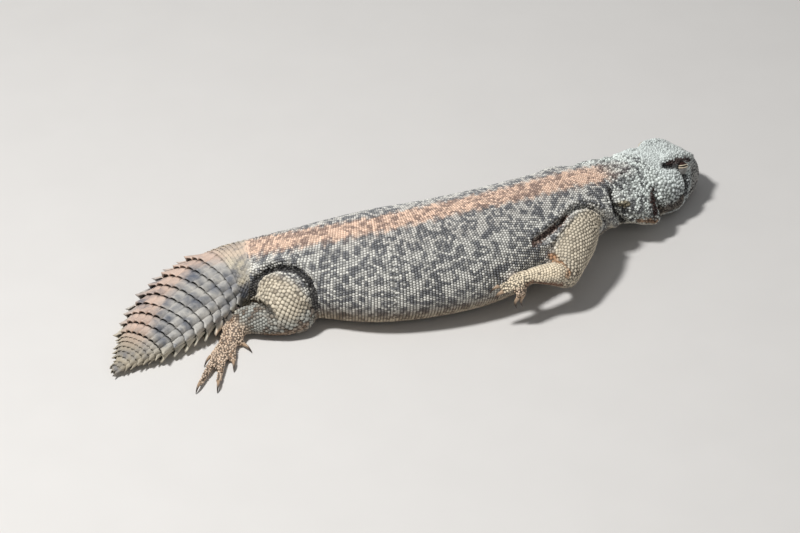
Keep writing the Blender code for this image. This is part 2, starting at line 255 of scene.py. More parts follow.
def midline(distance):
    """Plan points of the midline at these distances from the tail's tip, with headings."""
    distance = np.asarray(distance, float)
    plan = [rounded(MIDLINE_ALONG, MIDLINE_POINTS[:, c], distance) for c in range(2)]
    nudge = 0.6 * MM
    ahead = [
        rounded(MIDLINE_ALONG, MIDLINE_POINTS[:, c], distance + nudge)
        - rounded(MIDLINE_ALONG, MIDLINE_POINTS[:, c], distance - nudge)
        for c in range(2)
    ]
    return np.stack(plan, -1), unit(np.stack(ahead, -1))


MIDLINE_FINE = np.linspace(0.0, MIDLINE_ALONG[-1], 500)
MIDLINE_PLAN, MIDLINE_AHEAD = midline(MIDLINE_FINE)


def point_tree(points):
    tree = KDTree(len(points))
    for i, point in enumerate(points):
        tree.insert(point, i)
    tree.balance()
    return tree


def body_coordinates(points):
    """Distance along the midline, and distance to its right, of each point."""
    tree = point_tree([(x, y, 0.0) for x, y in MIDLINE_PLAN])
    nearest = np.array([tree.find((x, y, 0.0))[1] for x, y, _ in points])
    away = points[:, :2] - MIDLINE_PLAN[nearest]
    ahead = MIDLINE_AHEAD[nearest]
    lateral = away[:, 0] * ahead[:, 1] - away[:, 1] * ahead[:, 0]
    return MIDLINE_FINE[nearest] + (away * ahead).sum(1), lateral


def mirrored(points):
    """The same places on the other side of the body."""
    distance, lateral = body_coordinates(points)
    ahead = midline(distance)[1]
    right = np.stack([ahead[:, 1], -ahead[:, 0], np.zeros(len(points))], -1)
    return points - 2 * lateral[:, None] * right


# Meshes as arrays

def mesh_arrays(mesh):
    points = np.empty(len(mesh.vertices) * 3, np.float32)
    mesh.vertices.foreach_get("co", points)
    mesh.calc_loop_triangles()
    faces = np.empty(len(mesh.loop_triangles) * 3, np.int32)
    mesh.loop_triangles.foreach_get("vertices", faces)
    return points.reshape(-1, 3).astype(float), faces.reshape(-1, 3)


def surface_of(points, faces):
    return BVHTree.FromPolygons(points.tolist(), faces.tolist())


def vertex_normals(points, faces):
    a, b, c = (points[faces[:, i]] for i in range(3))
    across = np.cross(b - a, c - a)
    total = np.zeros_like(points)
    for i in range(3):
        for axis in range(3):
            total[:, axis] += np.bincount(faces[:, i], across[:, axis], len(points))
    return unit(total)


def edges_of(faces):
    pairs = np.concatenate([faces[:, [0, 1]], faces[:, [1, 2]], faces[:, [2, 0]]])
    return np.unique(np.sort(pairs, axis=1), axis=0)


def neighbour_mean(values, edges):
    """For each vertex, the mean of its neighbours' values."""
    count = np.bincount(edges.ravel(), minlength=len(values))
    flat = values.reshape(len(values), -1)
    mean = np.empty_like(flat)
    for c in range(flat.shape[1]):
        total = np.bincount(edges[:, 0], flat[edges[:, 1], c], len(flat))
        total += np.bincount(edges[:, 1], flat[edges[:, 0], c], len(flat))
        mean[:, c] = total / np.maximum(count, 1)
    return mean.reshape(values.shape)


def relax(values, edges, rounds):
    for _ in range(rounds):
        values = neighbour_mean(values, edges)
    return values


def smooth_surface(points, edges, rounds, strength):
    """Smoothing that keeps the volume: each round pulls in and then pushes back out."""
    pull, push = 0.55, -0.57
    strength = np.asarray(strength)[:, None]
    for _ in range(rounds):
        for share in (pull, push):
            points = points + (neighbour_mean(points, edges) - points) * share * strength
    return points


def grid_faces(rows, columns, closed=False):
    """Triangles between rows of points. Closed rows also join end to end."""
    faces = []
    for row in range(rows - 1):
        for i in range(columns if closed else columns - 1):
            a = row * columns + i
            b = row * columns + (i + 1) % columns
            faces += [(a, b, b + columns), (a, b + columns, a + columns)]
    return faces


def set_values(mesh, name, kind, values):
    attribute = mesh.attributes.new(name, kind, "POINT")
    field = {"FLOAT": "value", "FLOAT_VECTOR": "vector", "FLOAT_COLOR": "color"}[kind]
    attribute.data.foreach_set(field, np.ascontiguousarray(values, np.float32).ravel())


def mesh_from(name, points, faces):
    """A smooth-shaded mesh from arrays of points and triangles."""
    mesh = bpy.data.meshes.new(name)
    mesh.vertices.add(len(points))
    mesh.vertices.foreach_set("co", np.ascontiguousarray(points, np.float32).ravel())
    mesh.loops.add(faces.size)
    mesh.loops.foreach_set("vertex_index", np.ascontiguousarray(faces, np.int32).ravel())
    mesh.polygons.add(len(faces))
    starts = np.arange(0, faces.size, faces.shape[1], dtype=np.int32)
    mesh.polygons.foreach_set("loop_start", starts)
    mesh.update(calc_edges=True)
    mesh.shade_smooth()
    return mesh


def add_object(name, mesh):
    obj = bpy.data.objects.new(name, mesh)
    bpy.context.scene.collection.objects.link(obj)
    return obj


# The skin

def joined_solids(frame, names, grow):
    """The surfaces of some CAD nodes in one mesh, each moved out along its normals."""
    whole = bmesh.new()
    for name in names:
        shape = bmesh.new()
        shape.from_mesh(frame["nodes"][name].data)
        bmesh.ops.remove_doubles(shape, verts=shape.verts, dist=1e-6)
        shape.normal_update()
        for vert in shape.verts:
            vert.co += vert.normal * grow
        piece = bpy.data.meshes.new("piece")
        shape.to_mesh(piece)
        shape.free()
        whole.from_mesh(piece)
        bpy.data.meshes.remove(piece)
    mesh = bpy.data.meshes.new("joined")
    whole.to_mesh(mesh)
    whole.free()
    return mesh


def remeshed(mesh, voxel):
    obj = add_object("remesh", mesh)
    modifier = obj.modifiers.new("remesh", "REMESH")
    modifier.mode = "VOXEL"
    modifier.voxel_size = voxel
    graph = bpy.context.evaluated_depsgraph_get()
    made = bpy.data.meshes.new_from_object(obj.evaluated_get(graph))
    points, faces = mesh_arrays(made)
    bpy.data.objects.remove(obj)
    bpy.data.meshes.remove(made)
    return points, faces


def nearest_nodes(frame, names, points):
    """Index in names of the CAD node whose surface is nearest to each point."""
    all_points, all_faces, owner = [], [], []
    count = 0
    for i, name in enumerate(names):
        node_points, node_faces = mesh_arrays(frame["nodes"][name].data)
        all_points.append(node_points)
        all_faces.append(node_faces + count)
        owner += [i] * len(node_faces)
        count += len(node_points)
    surface = surface_of(np.concatenate(all_points), np.concatenate(all_faces))
    return np.array([owner[surface.find_nearest(point)[2]] for point in points.tolist()])


class Skin:
    """The skin as arrays: its points and faces, and what is known about each point."""

    def __init__(self, frame):
        solids = joined_solids(frame, FLESH_NODES + EYE_NODES, CLOSING)
        self.points, self.faces = remeshed(solids, VOXEL)
        self.edges = edges_of(self.faces)
        names = FLESH_NODES
        owner = nearest_nodes(frame, names, self.points)
        self.node = np.array(names)[owner]
        regions = np.array([region_of(name) for name in names])[owner]
        self.shares = {
            region: relax((regions == region).astype(float), self.edges, REGION_BLUR)
            for region in COAT_DEPTH
        }
        self.regions = regions
        strength = 1.0 - FOOT_KEPT * self.shares["foot"]
        self.points = smooth_surface(self.points, self.edges, SMOOTH_ROUNDS, strength)
        strength = self.shared(ROUNDING)
        for _ in range(ROUNDS):
            self.points = blend(self.points, neighbour_mean(self.points, self.edges), strength)
        self.update()
        self.push(-(CLOSING + self.shared(COAT_DEPTH)))
        self.update()

    def shared(self, values):
        """A value of each region, blended where regions meet."""
        return sum(values[region] * share for region, share in self.shares.items())

    def update(self):
        self.normals = vertex_normals(self.points, self.faces)
        self.surface = surface_of(self.points, self.faces)

    def push(self, amount):
        """Moves each point along its normal."""
        self.points = self.points + self.normals * amount[:, None]
        self.points[:, 2] = np.maximum(self.points[:, 2], SKIN_CLEARANCE)


def path_distance(points, path):
    """Distance of each point from a run of straight pieces, and the share of it passed."""
    best = np.full(len(points), np.inf)
    share = np.zeros(len(points))
    lengths = np.linalg.norm(np.diff(path, axis=0), axis=1)
    total = lengths.sum()
    passed = 0.0
    for a, b, length in zip(path, path[1:], lengths):
        t = np.clip(((points - a) @ (b - a)) / max(length**2, 1e-12), 0.0, 1.0)
        distance = np.linalg.norm(points - (a + t[:, None] * (b - a)), axis=1)
        nearer = distance < best
        best = np.where(nearer, distance, best)
        share = np.where(nearer, (passed + t * length) / total, share)
        passed += length
    return best, share


def crease(points, path, width, depth):
    """Depth of a groove along a path, fading at its ends, with a slight swell beside it."""
    distance, share = path_distance(points, path)
    fade = step(0.0, CREASE_TAPER, share) * step(0.0, CREASE_TAPER, 1.0 - share)
    swell = bell(distance - 1.9 * width, 1.1 * width) * (distance > width)
    return fade * depth * (bell(distance, width) - 0.35 * swell)


def dome(points, centre, radius):
    return bell(np.linalg.norm(points - centre, axis=1), radius)


# Folds and forms of the skin, each placed where the camera sees it at these pixels of the
# photograph's frame. Those of the head, neck and back are repeated on the far side.
GROOVES = {
    # name: (path, width, depth)
    "ear": (((652, 188), (652.5, 196), (654, 203), (657, 212)), 1.4 * MM, 3.8 * MM),
    "nape_fold": (((621, 172), (628, 180), (636, 189)), 1.1 * MM, 2.2 * MM),
    "lobe_edge": (((609, 189), (611, 197), (613, 206), (618, 214), (624, 221)), 1.5 * MM, 3.6 * MM),
    "lobe_fold": (((618, 204), (625, 210), (634, 213)), 1.0 * MM, 1.7 * MM),
    "arm_top": (
        ((555, 240), (559, 227), (565, 216), (574, 209), (584, 207), (594, 210), (602, 218), (606, 229)),
        1.1 * MM, 1.9 * MM,
    ),
    "axilla_fold": (((568, 215), (556, 225), (545, 234.5), (530, 244)), 1.2 * MM, 2.0 * MM),
    "axilla_web": (((561, 226), (550, 236), (539, 246)), 0.8 * MM, 0.9 * MM),
    "groin_fold": (
        (
            (254, 291), (258, 279), (268, 270.5), (283, 267),
            (298, 271), (309, 281), (314, 294), (315, 309),
        ),
        1.5 * MM, 2.5 * MM,
    ),
    "knee_fold": (((254, 303), (262, 304), (269, 308), (271, 313)), 1.0 * MM, 2.4 * MM),
    "elbow_fold": (((552, 256), (559, 260), (567, 264)), 0.8 * MM, 1.0 * MM),
    "wrist_fold": (((519, 273), (521, 277), (522, 282)), 0.5 * MM, 0.4 * MM),
    "eye_pocket": (((661, 165), (668, 166), (676, 167)), 1.5 * MM, 1.6 * MM),
    "snout_fold": (((682, 174), (685.5, 184), (682, 197)), 1.3 * MM, 1.7 * MM),
}
SWELLS = {
    # name: (path, radius, height)
    "cheek": (((663, 187), (672, 189)), 4.0 * MM, 1.9 * MM),
    "brow": (((662, 160), (670, 156.5), (680, 155), (690, 156.5), (697, 162)), 1.4 * MM, 1.1 * MM),
    "neck_lobe": (((630, 206), (647, 212)), 4.2 * MM, 4.2 * MM),
    "nape_lobe": (((639, 186), (645, 198)), 3.6 * MM, 0.8 * MM),
    "shoulder_lobe": (((589, 198), (600, 203)), 4.4 * MM, 1.0 * MM),
    "arm_dome": (((581, 224), (578, 240)), 6.0 * MM, 1.1 * MM),
    "elbow": (((563, 272), (573, 268)), 4.0 * MM, 0.9 * MM),
    "thigh_ball": (((284, 298), (284, 312)), 7.5 * MM, 2.0 * MM),
    "shin_lobe": (((246, 314), (254, 318)), 4.4 * MM, 1.1 * MM),
    "web": (((562, 229), (549, 241)), 1.5 * MM, 0.8 * MM),
    "jowl": (((663, 208), (676, 204)), 2.6 * MM, 0.8 * MM),
}
ONE_SIDED = (
    "arm_top", "axilla_fold", "axilla_web", "groin_fold", "knee_fold", "elbow_fold", "wrist_fold",
    "arm_dome", "elbow", "thigh_ball", "shin_lobe", "web",
    "axilla_shade", "forearm", "forearm_under_shade", "groin", "knee_shade", "thigh_under_shade",
)
# The far limbs' folds run where each limb leaves the trunk.
FAR_LIMBS = ("upper_arm_left", "thigh_left")
FAR_FOLD_WIDTH = 1.3 * MM
FAR_FOLD_DEPTH = 1.5 * MM
# The share of a fold's length over which it fades at each end.
CREASE_TAPER = 0.25
MOUTH_LEVEL = 5.4 * MM
MOUTH_WIDTH = 0.60 * MM
MOUTH_DEPTH = 0.90 * MM
MOUTH_BARE = 0.58 * MM
MOUTH_CORNER = along("eyes") - 2.5 * MM
NOSTRIL_SETBACK = 3.6 * MM
NOSTRIL_HEIGHT = 9.2 * MM
NOSTRIL_RADIUS = 0.75 * MM
NOSTRIL_DEPTH = 1.3 * MM
NOSTRIL_BARE = 1.25 * MM
SOCKET_MARGIN = 0.35 * MM
SOCKET_REACH = 3.0 * MM
SOCKET_EDGE = (math.radians(46), math.radians(66))
# Swellings fade out between these distances from the surface of an eyeball.
SWELL_FADE = (-0.3 * MM, 1.6 * MM)
EYE_LOOK_UP = 0.28


def both_sides(name, path):
    return [path] if name in ONE_SIDED else [path, mirrored(path)]


def eye_axes(side):
    """The way an eye looks, forward and up. Side is 1 for the right eye and -1 for the left."""
    ahead = midline([along("eyes")])[1][0]
    forward = np.array([*ahead, 0.0])
    outward = unit(side * np.array([ahead[1], -ahead[0], 0.0]) + np.array([0.0, 0.0, EYE_LOOK_UP]))
    up = np.cross(forward, outward)
    return outward, forward, up * np.sign(up[2])


def far_folds(skin):
    """Depth of the folds round the far limbs' roots."""
    depth = np.zeros(len(skin.points))
    ends = skin.node[skin.edges]
    for limb in FAR_LIMBS:
        seam = (ends == limb).any(1) & (skin.regions[skin.edges] == "trunk").any(1)
        line = np.unique(skin.edges[seam])
        tree = point_tree(skin.points[line])
        distance = np.array([tree.find(point)[2] for point in skin.points.tolist()])
        depth += FAR_FOLD_DEPTH * bell(distance, FAR_FOLD_WIDTH)
    return depth * step(-0.4, 0.2, skin.normals[:, 2])


def nostrils(skin):
    """Centres of the two nostrils on the skin."""
    plan, ahead = midline([along("snout_tip") - NOSTRIL_SETBACK])
    side = np.array([ahead[0][1], -ahead[0][0]])
    found = []
    for way in (1, -1):
        start = Vector((*(plan[0] + way * side * 0.03), NOSTRIL_HEIGHT))
        found.append(skin.surface.ray_cast(start, Vector((*(-way * side), 0.0)))[0])
    return [np.array(point) for point in found if point is not None]


def mouth_line(points, distance):
    """1 along the mouth's line and 0 away from it."""
    head = step(MOUTH_CORNER - 2.0 * MM, MOUTH_CORNER + 1.0 * MM, distance)
    level = np.abs(points[:, 2] - MOUTH_LEVEL)
    return head * bell(level, MOUTH_WIDTH)


def sculpt(skin, eyes):
    """Adds the folds, swellings, mouth line, nostrils and eye sockets to the skin."""
    amount = np.zeros(len(skin.points))
    paths = {}
    for name, (pixels, _, _) in (*SWELLS.items(), *GROOVES.items()):
        paths[name] = both_sides(name, seen_path(skin.surface, pixels))
    for name, (_, radius, height) in SWELLS.items():
        for path in paths[name]:
            amount += height * bell(path_distance(skin.points, path)[0], radius)
    for centre, radius in eyes:
        reach = np.linalg.norm(skin.points - centre, axis=1)
        amount *= step(*SWELL_FADE, reach - radius)
    for name, (_, width, depth) in GROOVES.items():
        for path in paths[name]:
            amount -= crease(skin.points, path, width, depth)
    amount -= far_folds(skin)
    amount -= MOUTH_DEPTH * mouth_line(skin.points, body_coordinates(skin.points)[0])
    skin.nostrils = nostrils(skin)
    for centre in skin.nostrils:
        amount -= NOSTRIL_DEPTH * dome(skin.points, centre, NOSTRIL_RADIUS)
    skin.push(amount)
    for (centre, radius), side in zip(eyes, (1, -1)):
        away = skin.points - centre
        reach = np.linalg.norm(away, axis=1)
        aside = np.arccos(np.clip(away @ eye_axes(side)[0] / reach, -1.0, 1.0))
        inside = faded(aside, SOCKET_EDGE) * (reach < radius + SOCKET_REACH)
        target = centre + away / reach[:, None] * (radius - SOCKET_MARGIN)
        skin.points = blend(skin.points, target, inside)
    skin.update()


# Colours, as they look in soft light.
COLOUR = {
    "back": linear(218, 214, 206),
    "flank": linear(230, 228, 220),
    # The low flank's own brown with painted shade in it; it also paints shade on the throat and the
    # limbs' undersides.
    "low_flank": linear(136, 122, 106),
    "belly": linear(196, 182, 160),
    "band": linear(246, 214, 190),
    "neck": linear(232, 238, 232),
    "crown": linear(224, 230, 226),
    "cheek": linear(204, 210, 208),
    "snout": linear(174, 172, 168),
    "limb": linear(218, 206, 184),
    "shin": linear(176, 176, 168),
    "foot": linear(226, 202, 178),
    "tail_back": linear(212, 188, 172),
    "tail_side": linear(196, 192, 184),
    "tail_mark": linear(104, 108, 118),
    "tail_under": linear(214, 206, 186),
    "tail_ring": linear(220, 208, 182),
    "tail_end": linear(164, 152, 132),
    "slate": linear(122, 123, 126),
    "umber": linear(108, 88, 70),
    "rust": linear(184, 148, 128),
    # Dark: the neck's own marks, and painted shade in the creases, the eye's pocket, the groin and the
    # knee.
    "dark": linear(44, 42, 42),
    # Painted shade: dark maroon for the brow's underside, the ear's opening, the mouth's line, the
    # nostrils and the lids' tops.
    "shade_maroon": linear(56, 32, 26),
    # Jowl: its own brown-grey with painted shade in it, for the jowl's underside.
    "jowl": linear(104, 90, 78),
    # Ochre: the lobe's rim and the feet's own marks, and painted shade under the thigh.
    "ochre": linear(158, 118, 84),
    "olive": linear(168, 148, 96),
    "cream": linear(246, 230, 202),
    # Painted shade in the elbow's fold.
    "orange": linear(178, 124, 78),
    # Painted shade in the armpit and under the forearm.
    "shade_brown": linear(118, 72, 46),
}
BAND_PATH = (
    (247, 246), (272, 242), (300, 237), (338, 231), (376, 224), (414, 215.5), (452, 206.5),
    (486, 199), (517, 191.8), (557, 181.5), (590, 174.5), (620, 166.5),
)
BAND_WAVER = 0.6 * MM
# How fast the band's sides waver, in radians to the metre along the body and across it.
BAND_WAVES = ((1900.0, 0.0), (830.0, 1400.0))
TAIL_BACK_PATH = ((247, 246), (226, 250), (207, 255), (184, 266), (167, 282), (152, 299), (132, 335))
# Small coloured places, as paths in the photograph's pixels. Most are painted shade in folds, openings
# and under parts.
STROKES = {
    # name: (path, half width, colour, strength)
    # Painted shadow: the dark pocket behind the eye under the brow.
    "pocket_shadow": (((663, 165), (671, 166), (679, 165.5)), 1.4 * MM, "dark", 0.95),
    "brow_shade": (((668, 162), (679, 160), (689, 159.5), (696, 162)), 1.0 * MM, "shade_maroon", 0.95),
    "snout_strip": (((692, 168), (693, 179), (690, 191)), 2.0 * MM, "snout", 0.9),
    # Painted shade in the fold between the cheek and the snout.
    "snout_fold": (((684, 174), (686, 185), (682, 197)), 1.2 * MM, "dark", 0.85),
    # Painted shade on the jowl's underside, over its own brown-grey.
    "jowl": (((660, 209), (671, 208), (682, 200)), 2.6 * MM, "jowl", 0.85),
    # Painted shade in the ear's opening.
    "ear": (((652, 190), (653, 199), (656.5, 212)), 1.2 * MM, "shade_maroon", 1.0),
    "lobe_rim": (((640, 220), (655, 221)), 1.6 * MM, "ochre", 0.85),
    "lobe_patch": (((620, 204), (627, 203)), 1.4 * MM, "olive", 0.6),
    # These three are painted shade in the creases of the neck's lobe and nape.
    "lobe_crease_shade": (((609, 188), (611, 199), (616, 211), (624, 221)), 1.2 * MM, "dark", 0.9),
    "lobe_inner_shade": (((618, 204), (625, 210), (634, 213)), 0.9 * MM, "dark", 0.85),
    "nape_crease_shade": (((622, 174), (628, 181), (635, 188)), 0.7 * MM, "dark", 0.7),
    # Painted shade in the armpit.
    "axilla_shade": (((567, 217), (553, 229), (534, 243)), 1.4 * MM, "shade_brown", 0.75),
    # Painted shade in the elbow's fold.
    "elbow": (((552, 256), (560, 263), (568, 273)), 1.5 * MM, "orange", 0.8),
    "forearm": (((560, 268), (545, 270), (520, 277), (505, 284)), 3.2 * MM, "cream", 1.0),
    # Painted shade under the forearm.
    "forearm_under_shade": (((562, 285), (545, 284), (528, 284)), 1.3 * MM, "shade_brown", 0.8),
    # Painted shadow in the groove over the thigh.
    "groin": (
        ((254, 292), (259, 278), (275, 267), (298, 270), (312, 284), (316, 306)),
        1.7 * MM, "dark", 0.9,
    ),
    # Painted shade in the knee's fold.
    "knee_shade": (((254, 303), (262, 304), (269, 308), (271, 313)), 0.9 * MM, "dark", 0.85),
    # Painted shade under the thigh.
    "thigh_under_shade": (((268, 334), (290, 334), (306, 325)), 1.8 * MM, "ochre", 0.5),
}
# Where a stroke fades, in half widths, and how dark the markings in it are.
STROKE_EDGE = np.array([0.6, 1.3])
STROKE_MARK = 0.6


def painted(skin, ground, mark):
    """The strokes laid over both colours."""
    for name, (pixels, width, colour, strength) in STROKES.items():
        for path in both_sides(name, seen_path(skin.surface, pixels)):
            distance = path_distance(skin.points, path)[0]
            share = strength * faded(distance, STROKE_EDGE * width)
            ground = blend(ground, COLOUR[colour], share)
            mark = blend(mark, COLOUR[colour] * STROKE_MARK, share)
    return ground, mark


# Where colours change over, each as the two ends of the change.
FLANK_EDGE = (0.35, 0.7)
UNDER_EDGE = (0.2, 0.75)
LOW_SHADE_EDGE = (5.0 * MM, 15.0 * MM)
BAND_EDGE = (2.9 * MM, 6.4 * MM)
BAND_END = (0.90, 1.0)
CROWN_EDGE = (10.0 * MM, 18.5 * MM)
THROAT_SHADE_EDGE = (1.5 * MM, 4.5 * MM)
TAIL_BACK_EDGE = (2.5 * MM, 9.0 * MM)
TAIL_LOW_EDGE = (3.0 * MM, 7.0 * MM)
# In lengths of the tail's tip.
TAIL_END_EDGE = (0.5, 1.4)
MOUTH_EDGE = (0.25, 0.7)
NOSTRIL_EDGE = (0.2, 0.5)
# How much of each region is dark, and how light the gaps between its scales are painted: partly darker
# skin, partly painted shade.
DARK = {
    "flank": 0.52, "low": 0.04, "under": -0.30, "band": 0.36, "neck": 0.26, "cheek": 0.14,
    "crown": -0.30, "tail": 0.74, "tail_low": -0.34, "tail_back": -0.26, "limb": -0.30,
    "shin": 0.24, "foot": -0.14,
}
GAP_SHADE = {
    "flank": 0.34, "band": 0.60, "cheek": 0.15, "crown": 0.78, "tail": 0.10, "limb": 0.34,
    "foot": 0.24,
}


def band_share(skin, distance, lateral):
    """The band along the back, with wavering sides, fading out at the nape."""
    band, passed = path_distance(skin.points, seen_path(skin.surface, BAND_PATH))
    waver = sum(np.sin(distance * ahead + lateral * across) for ahead, across in BAND_WAVES)
    return faded(band + BAND_WAVER * waver, BAND_EDGE) * (1.0 - 0.7 * step(*BAND_END, passed))


def head_ground(height, crown, snout):
    # The crown is paler than the cheek, partly the head's own colours and partly painted shade; the
    # throat darkens towards the floor as painted shade.
    ground = blend(COLOUR["cheek"], COLOUR["crown"], crown)
    ground = blend(ground, COLOUR["snout"], snout * (1.0 - 0.7 * crown))
    return blend(ground, COLOUR["low_flank"], faded(height, THROAT_SHADE_EDGE))


def opening_share(skin, distance):
    """The mouth's line and the nostrils, where dark maroon is painted as the shade in them."""
    share = step(*MOUTH_EDGE, mouth_line(skin.points, distance))
    for centre in skin.nostrils:
        nostril = step(*NOSTRIL_EDGE, dome(skin.points, centre, NOSTRIL_RADIUS))
        share = np.maximum(share, nostril)
    return share


def tail_ground(distance, back, low, under):
    ground = blend(COLOUR["tail_side"], COLOUR["tail_back"], back)
    ground = blend(ground, COLOUR["tail_under"], np.maximum(under, low))
    ringed = step(RINGS_START - 1.0 * MM, RINGS_START + 2.0 * MM, distance)
    ground = blend(ground, COLOUR["tail_ring"], ringed * (1.0 - 0.6 * back))
    return blend(ground, COLOUR["tail_end"], 0.8 * faded(distance / WHORL_START, TAIL_END_EDGE))


def laid(below, over, amount):
    """Both colours, the share of dark and the gaps of one layer laid over those of another."""
    mixes = (blend, blend, lerp, lerp)
    return [mix(under, top, amount) for mix, under, top in zip(mixes, below, over)]


def markings(skin):
    """Light colour, dark colour, share of dark, and how light the gaps between scales are
    painted (partly darker skin, partly painted shade), at each point of the skin."""
    points = skin.points
    distance, lateral = body_coordinates(points)
    half_width = rounded(MIDLINE_ALONG, MIDLINE_POINTS[:, 2], distance)
    side = np.abs(lateral) / half_width
    height = points[:, 2]
    band = band_share(skin, distance, lateral)
    # Painted shade: the lower flank darkens towards the floor over its own browner colour, the neck's
    # pale colour gives way to it, and the belly's marks take it too.
    low = faded(height, LOW_SHADE_EDGE)
    under = step(*UNDER_EDGE, -skin.normals[:, 2])

    ground = blend(COLOUR["back"], COLOUR["flank"], step(*FLANK_EDGE, side))
    ground = blend(ground, COLOUR["low_flank"], low)
    ground = blend(ground, COLOUR["belly"], under)
    mark = blend(COLOUR["slate"], COLOUR["umber"], low)
    mark = blend(mark, COLOUR["low_flank"], 0.6 * under)
    share = DARK["flank"] + DARK["low"] * low + DARK["under"] * under
    ground = blend(ground, COLOUR["band"], band)
    mark = blend(mark, COLOUR["rust"], 0.6 * band)
    share = lerp(share, DARK["band"], band)
    gap = lerp(np.full(len(points), GAP_SHADE["flank"]), GAP_SHADE["band"], band)

    neck = step(along("shoulders"), along("nape"), distance) * (1.0 - band)
    ground = blend(ground, COLOUR["neck"], neck * (1.0 - 0.6 * low))
    mark = blend(mark, COLOUR["dark"], 0.6 * neck)
    share = lerp(share, DARK["neck"], neck)

    head = skin.shares["head"]
    crown = step(*CROWN_EDGE, height)
    snout = step(along("eyes") + 1.0 * MM, along("muzzle"), distance)
    ground = blend(ground, head_ground(height, crown, snout), head)
    mark = blend(mark, COLOUR["slate"], head)
    # Painted shade: the mouth's line and the nostrils are dark maroon.
    ground = blend(ground, COLOUR["shade_maroon"], 0.85 * opening_share(skin, distance))
    pale = np.maximum(crown, 0.7 * snout)
    share = lerp(share, lerp(DARK["cheek"], DARK["crown"], pale), head)
    head_gap = lerp(GAP_SHADE["cheek"], GAP_SHADE["crown"], crown)
    gap = lerp(gap, head_gap, np.maximum(head, 0.5 * neck))

    tail = skin.shares["tail"]
    tail_band = path_distance(points, seen_path(skin.surface, TAIL_BACK_PATH))[0]
    tail_back = faded(tail_band, TAIL_BACK_EDGE)
    tail_low = faded(height, TAIL_LOW_EDGE)
    tail_share = DARK["tail"] + DARK["tail_low"] * tail_low + DARK["tail_back"] * tail_back
    tail_colour = tail_ground(distance, tail_back, tail_low, under)
    layer = laid(
        (ground, mark, share, gap), (tail_colour, COLOUR["tail_mark"], tail_share, GAP_SHADE["tail"]), tail,
    )

    shin = relax(np.char.startswith(skin.node, "shin").astype(float), skin.edges, SHIN_BLUR)
    limb_colour = blend(COLOUR["limb"], COLOUR["shin"], shin)
    # Painted shade: the limbs' undersides take the low flank's shaded colour.
    limb_colour = blend(limb_colour, COLOUR["low_flank"], 0.7 * under)
    limb_share = lerp(DARK["limb"], DARK["shin"], shin)
    limb = (limb_colour, COLOUR["umber"], limb_share, GAP_SHADE["limb"])
    foot = (COLOUR["foot"], COLOUR["ochre"], DARK["foot"], GAP_SHADE["foot"])
    layer = laid(laid(layer, limb, skin.shares["limb"]), foot, skin.shares["foot"])
    return *painted(skin, *layer[:2]), *layer[2:]


# Scales: shapes

def scale_template(sides, levels, apex, sink=0.22):
    """A domed scale of half width about 0.5. Each level is a share of the outline, a height
    and a shift to the rear; +Y is the rear."""
    angles = 2 * np.pi * (np.arange(sides) + 0.5) / sides
    outline = np.stack([np.cos(angles), np.sin(angles)], -1) * 0.5
    outline[:, 1] *= np.where(outline[:, 1] > 0, 1.18, 0.95)
    rows = [np.column_stack([outline, np.full(sides, -sink)])]
    for share, height, shift in levels:
        ring = outline * share + np.array([0.0, shift])
        rows.append(np.column_stack([ring, np.full(sides, height)]))
    points = np.concatenate(rows + [np.array([[0.0, apex[0], apex[1]]])])
    faces = grid_faces(len(levels) + 1, sides, closed=True)
    top = len(levels) * sides
    faces += [(top + i, top + (i + 1) % sides, len(points) - 1) for i in range(sides)]
    # Rise runs from 0 at the base to 1 at the top; painted shade darkens the low points.
    rise = np.clip((points[:, 2] + 0.02) / max(apex[1], 1e-6), 0.0, 1.0)
    return points, np.array(faces), rise


TEMPLATES = {
    "flank": scale_template(7, ((0.95, 0.08, 0.02), (0.66, 0.27, 0.06)), (0.12, 0.34)),
    "granule": scale_template(8, ((0.94, 0.10, 0.0), (0.66, 0.34, 0.02)), (0.04, 0.44)),
    "limb": scale_template(6, ((0.97, 0.08, 0.02), (0.56, 0.21, 0.16)), (0.30, 0.32)),
    "foot": scale_template(6, ((0.92, 0.12, 0.03), (0.60, 0.30, 0.10)), (0.18, 0.36)),
}

# Distance between scales, by where they stand.
SPACING = {
    "trunk": 0.94 * MM, "neck": 1.0 * MM, "head": 0.92 * MM, "upper_arm": 1.24 * MM,
    "forearm": 1.1 * MM, "thigh": 1.28 * MM, "shin": 1.1 * MM, "hand": 0.80 * MM,
    "foot": 0.85 * MM, "tail": 1.15 * MM,
}
CLOSEST = 0.74
CHEEK_SIZE = 1.32 * MM
CHEEK_PATH = ((655, 184), (663, 188), (673, 190))
CHEEK_EDGE = (3.0 * MM, 6.5 * MM)
TOE_EDGE = (7.0 * MM, 12.0 * MM)
TRIAL_SPACING = 0.42 * MM
EYE_CLEARANCE = 0.25 * MM
ROW_HEIGHT = 12.0 * MM
ROW_STEP = 0.93
LIMB_ROW_STEP = 0.9
THIGH_LEAN = 0.35
# How far the skin may lie from a row's place on the CAD solid, and how much the swollen skin
# of the thigh spreads its rows.
ROW_REACH = 3.6 * MM
THIGH_SPREAD = 1.25


def spacing_of(node):
    if node in TAIL_NODES:
        return SPACING["tail"]
    if node in ("head", "lower_jaw"):
        return SPACING["head"]
    name = node.rsplit("_", 1)[0] if node.endswith(("_right", "_left")) else node
    return SPACING.get(name, SPACING["trunk"])


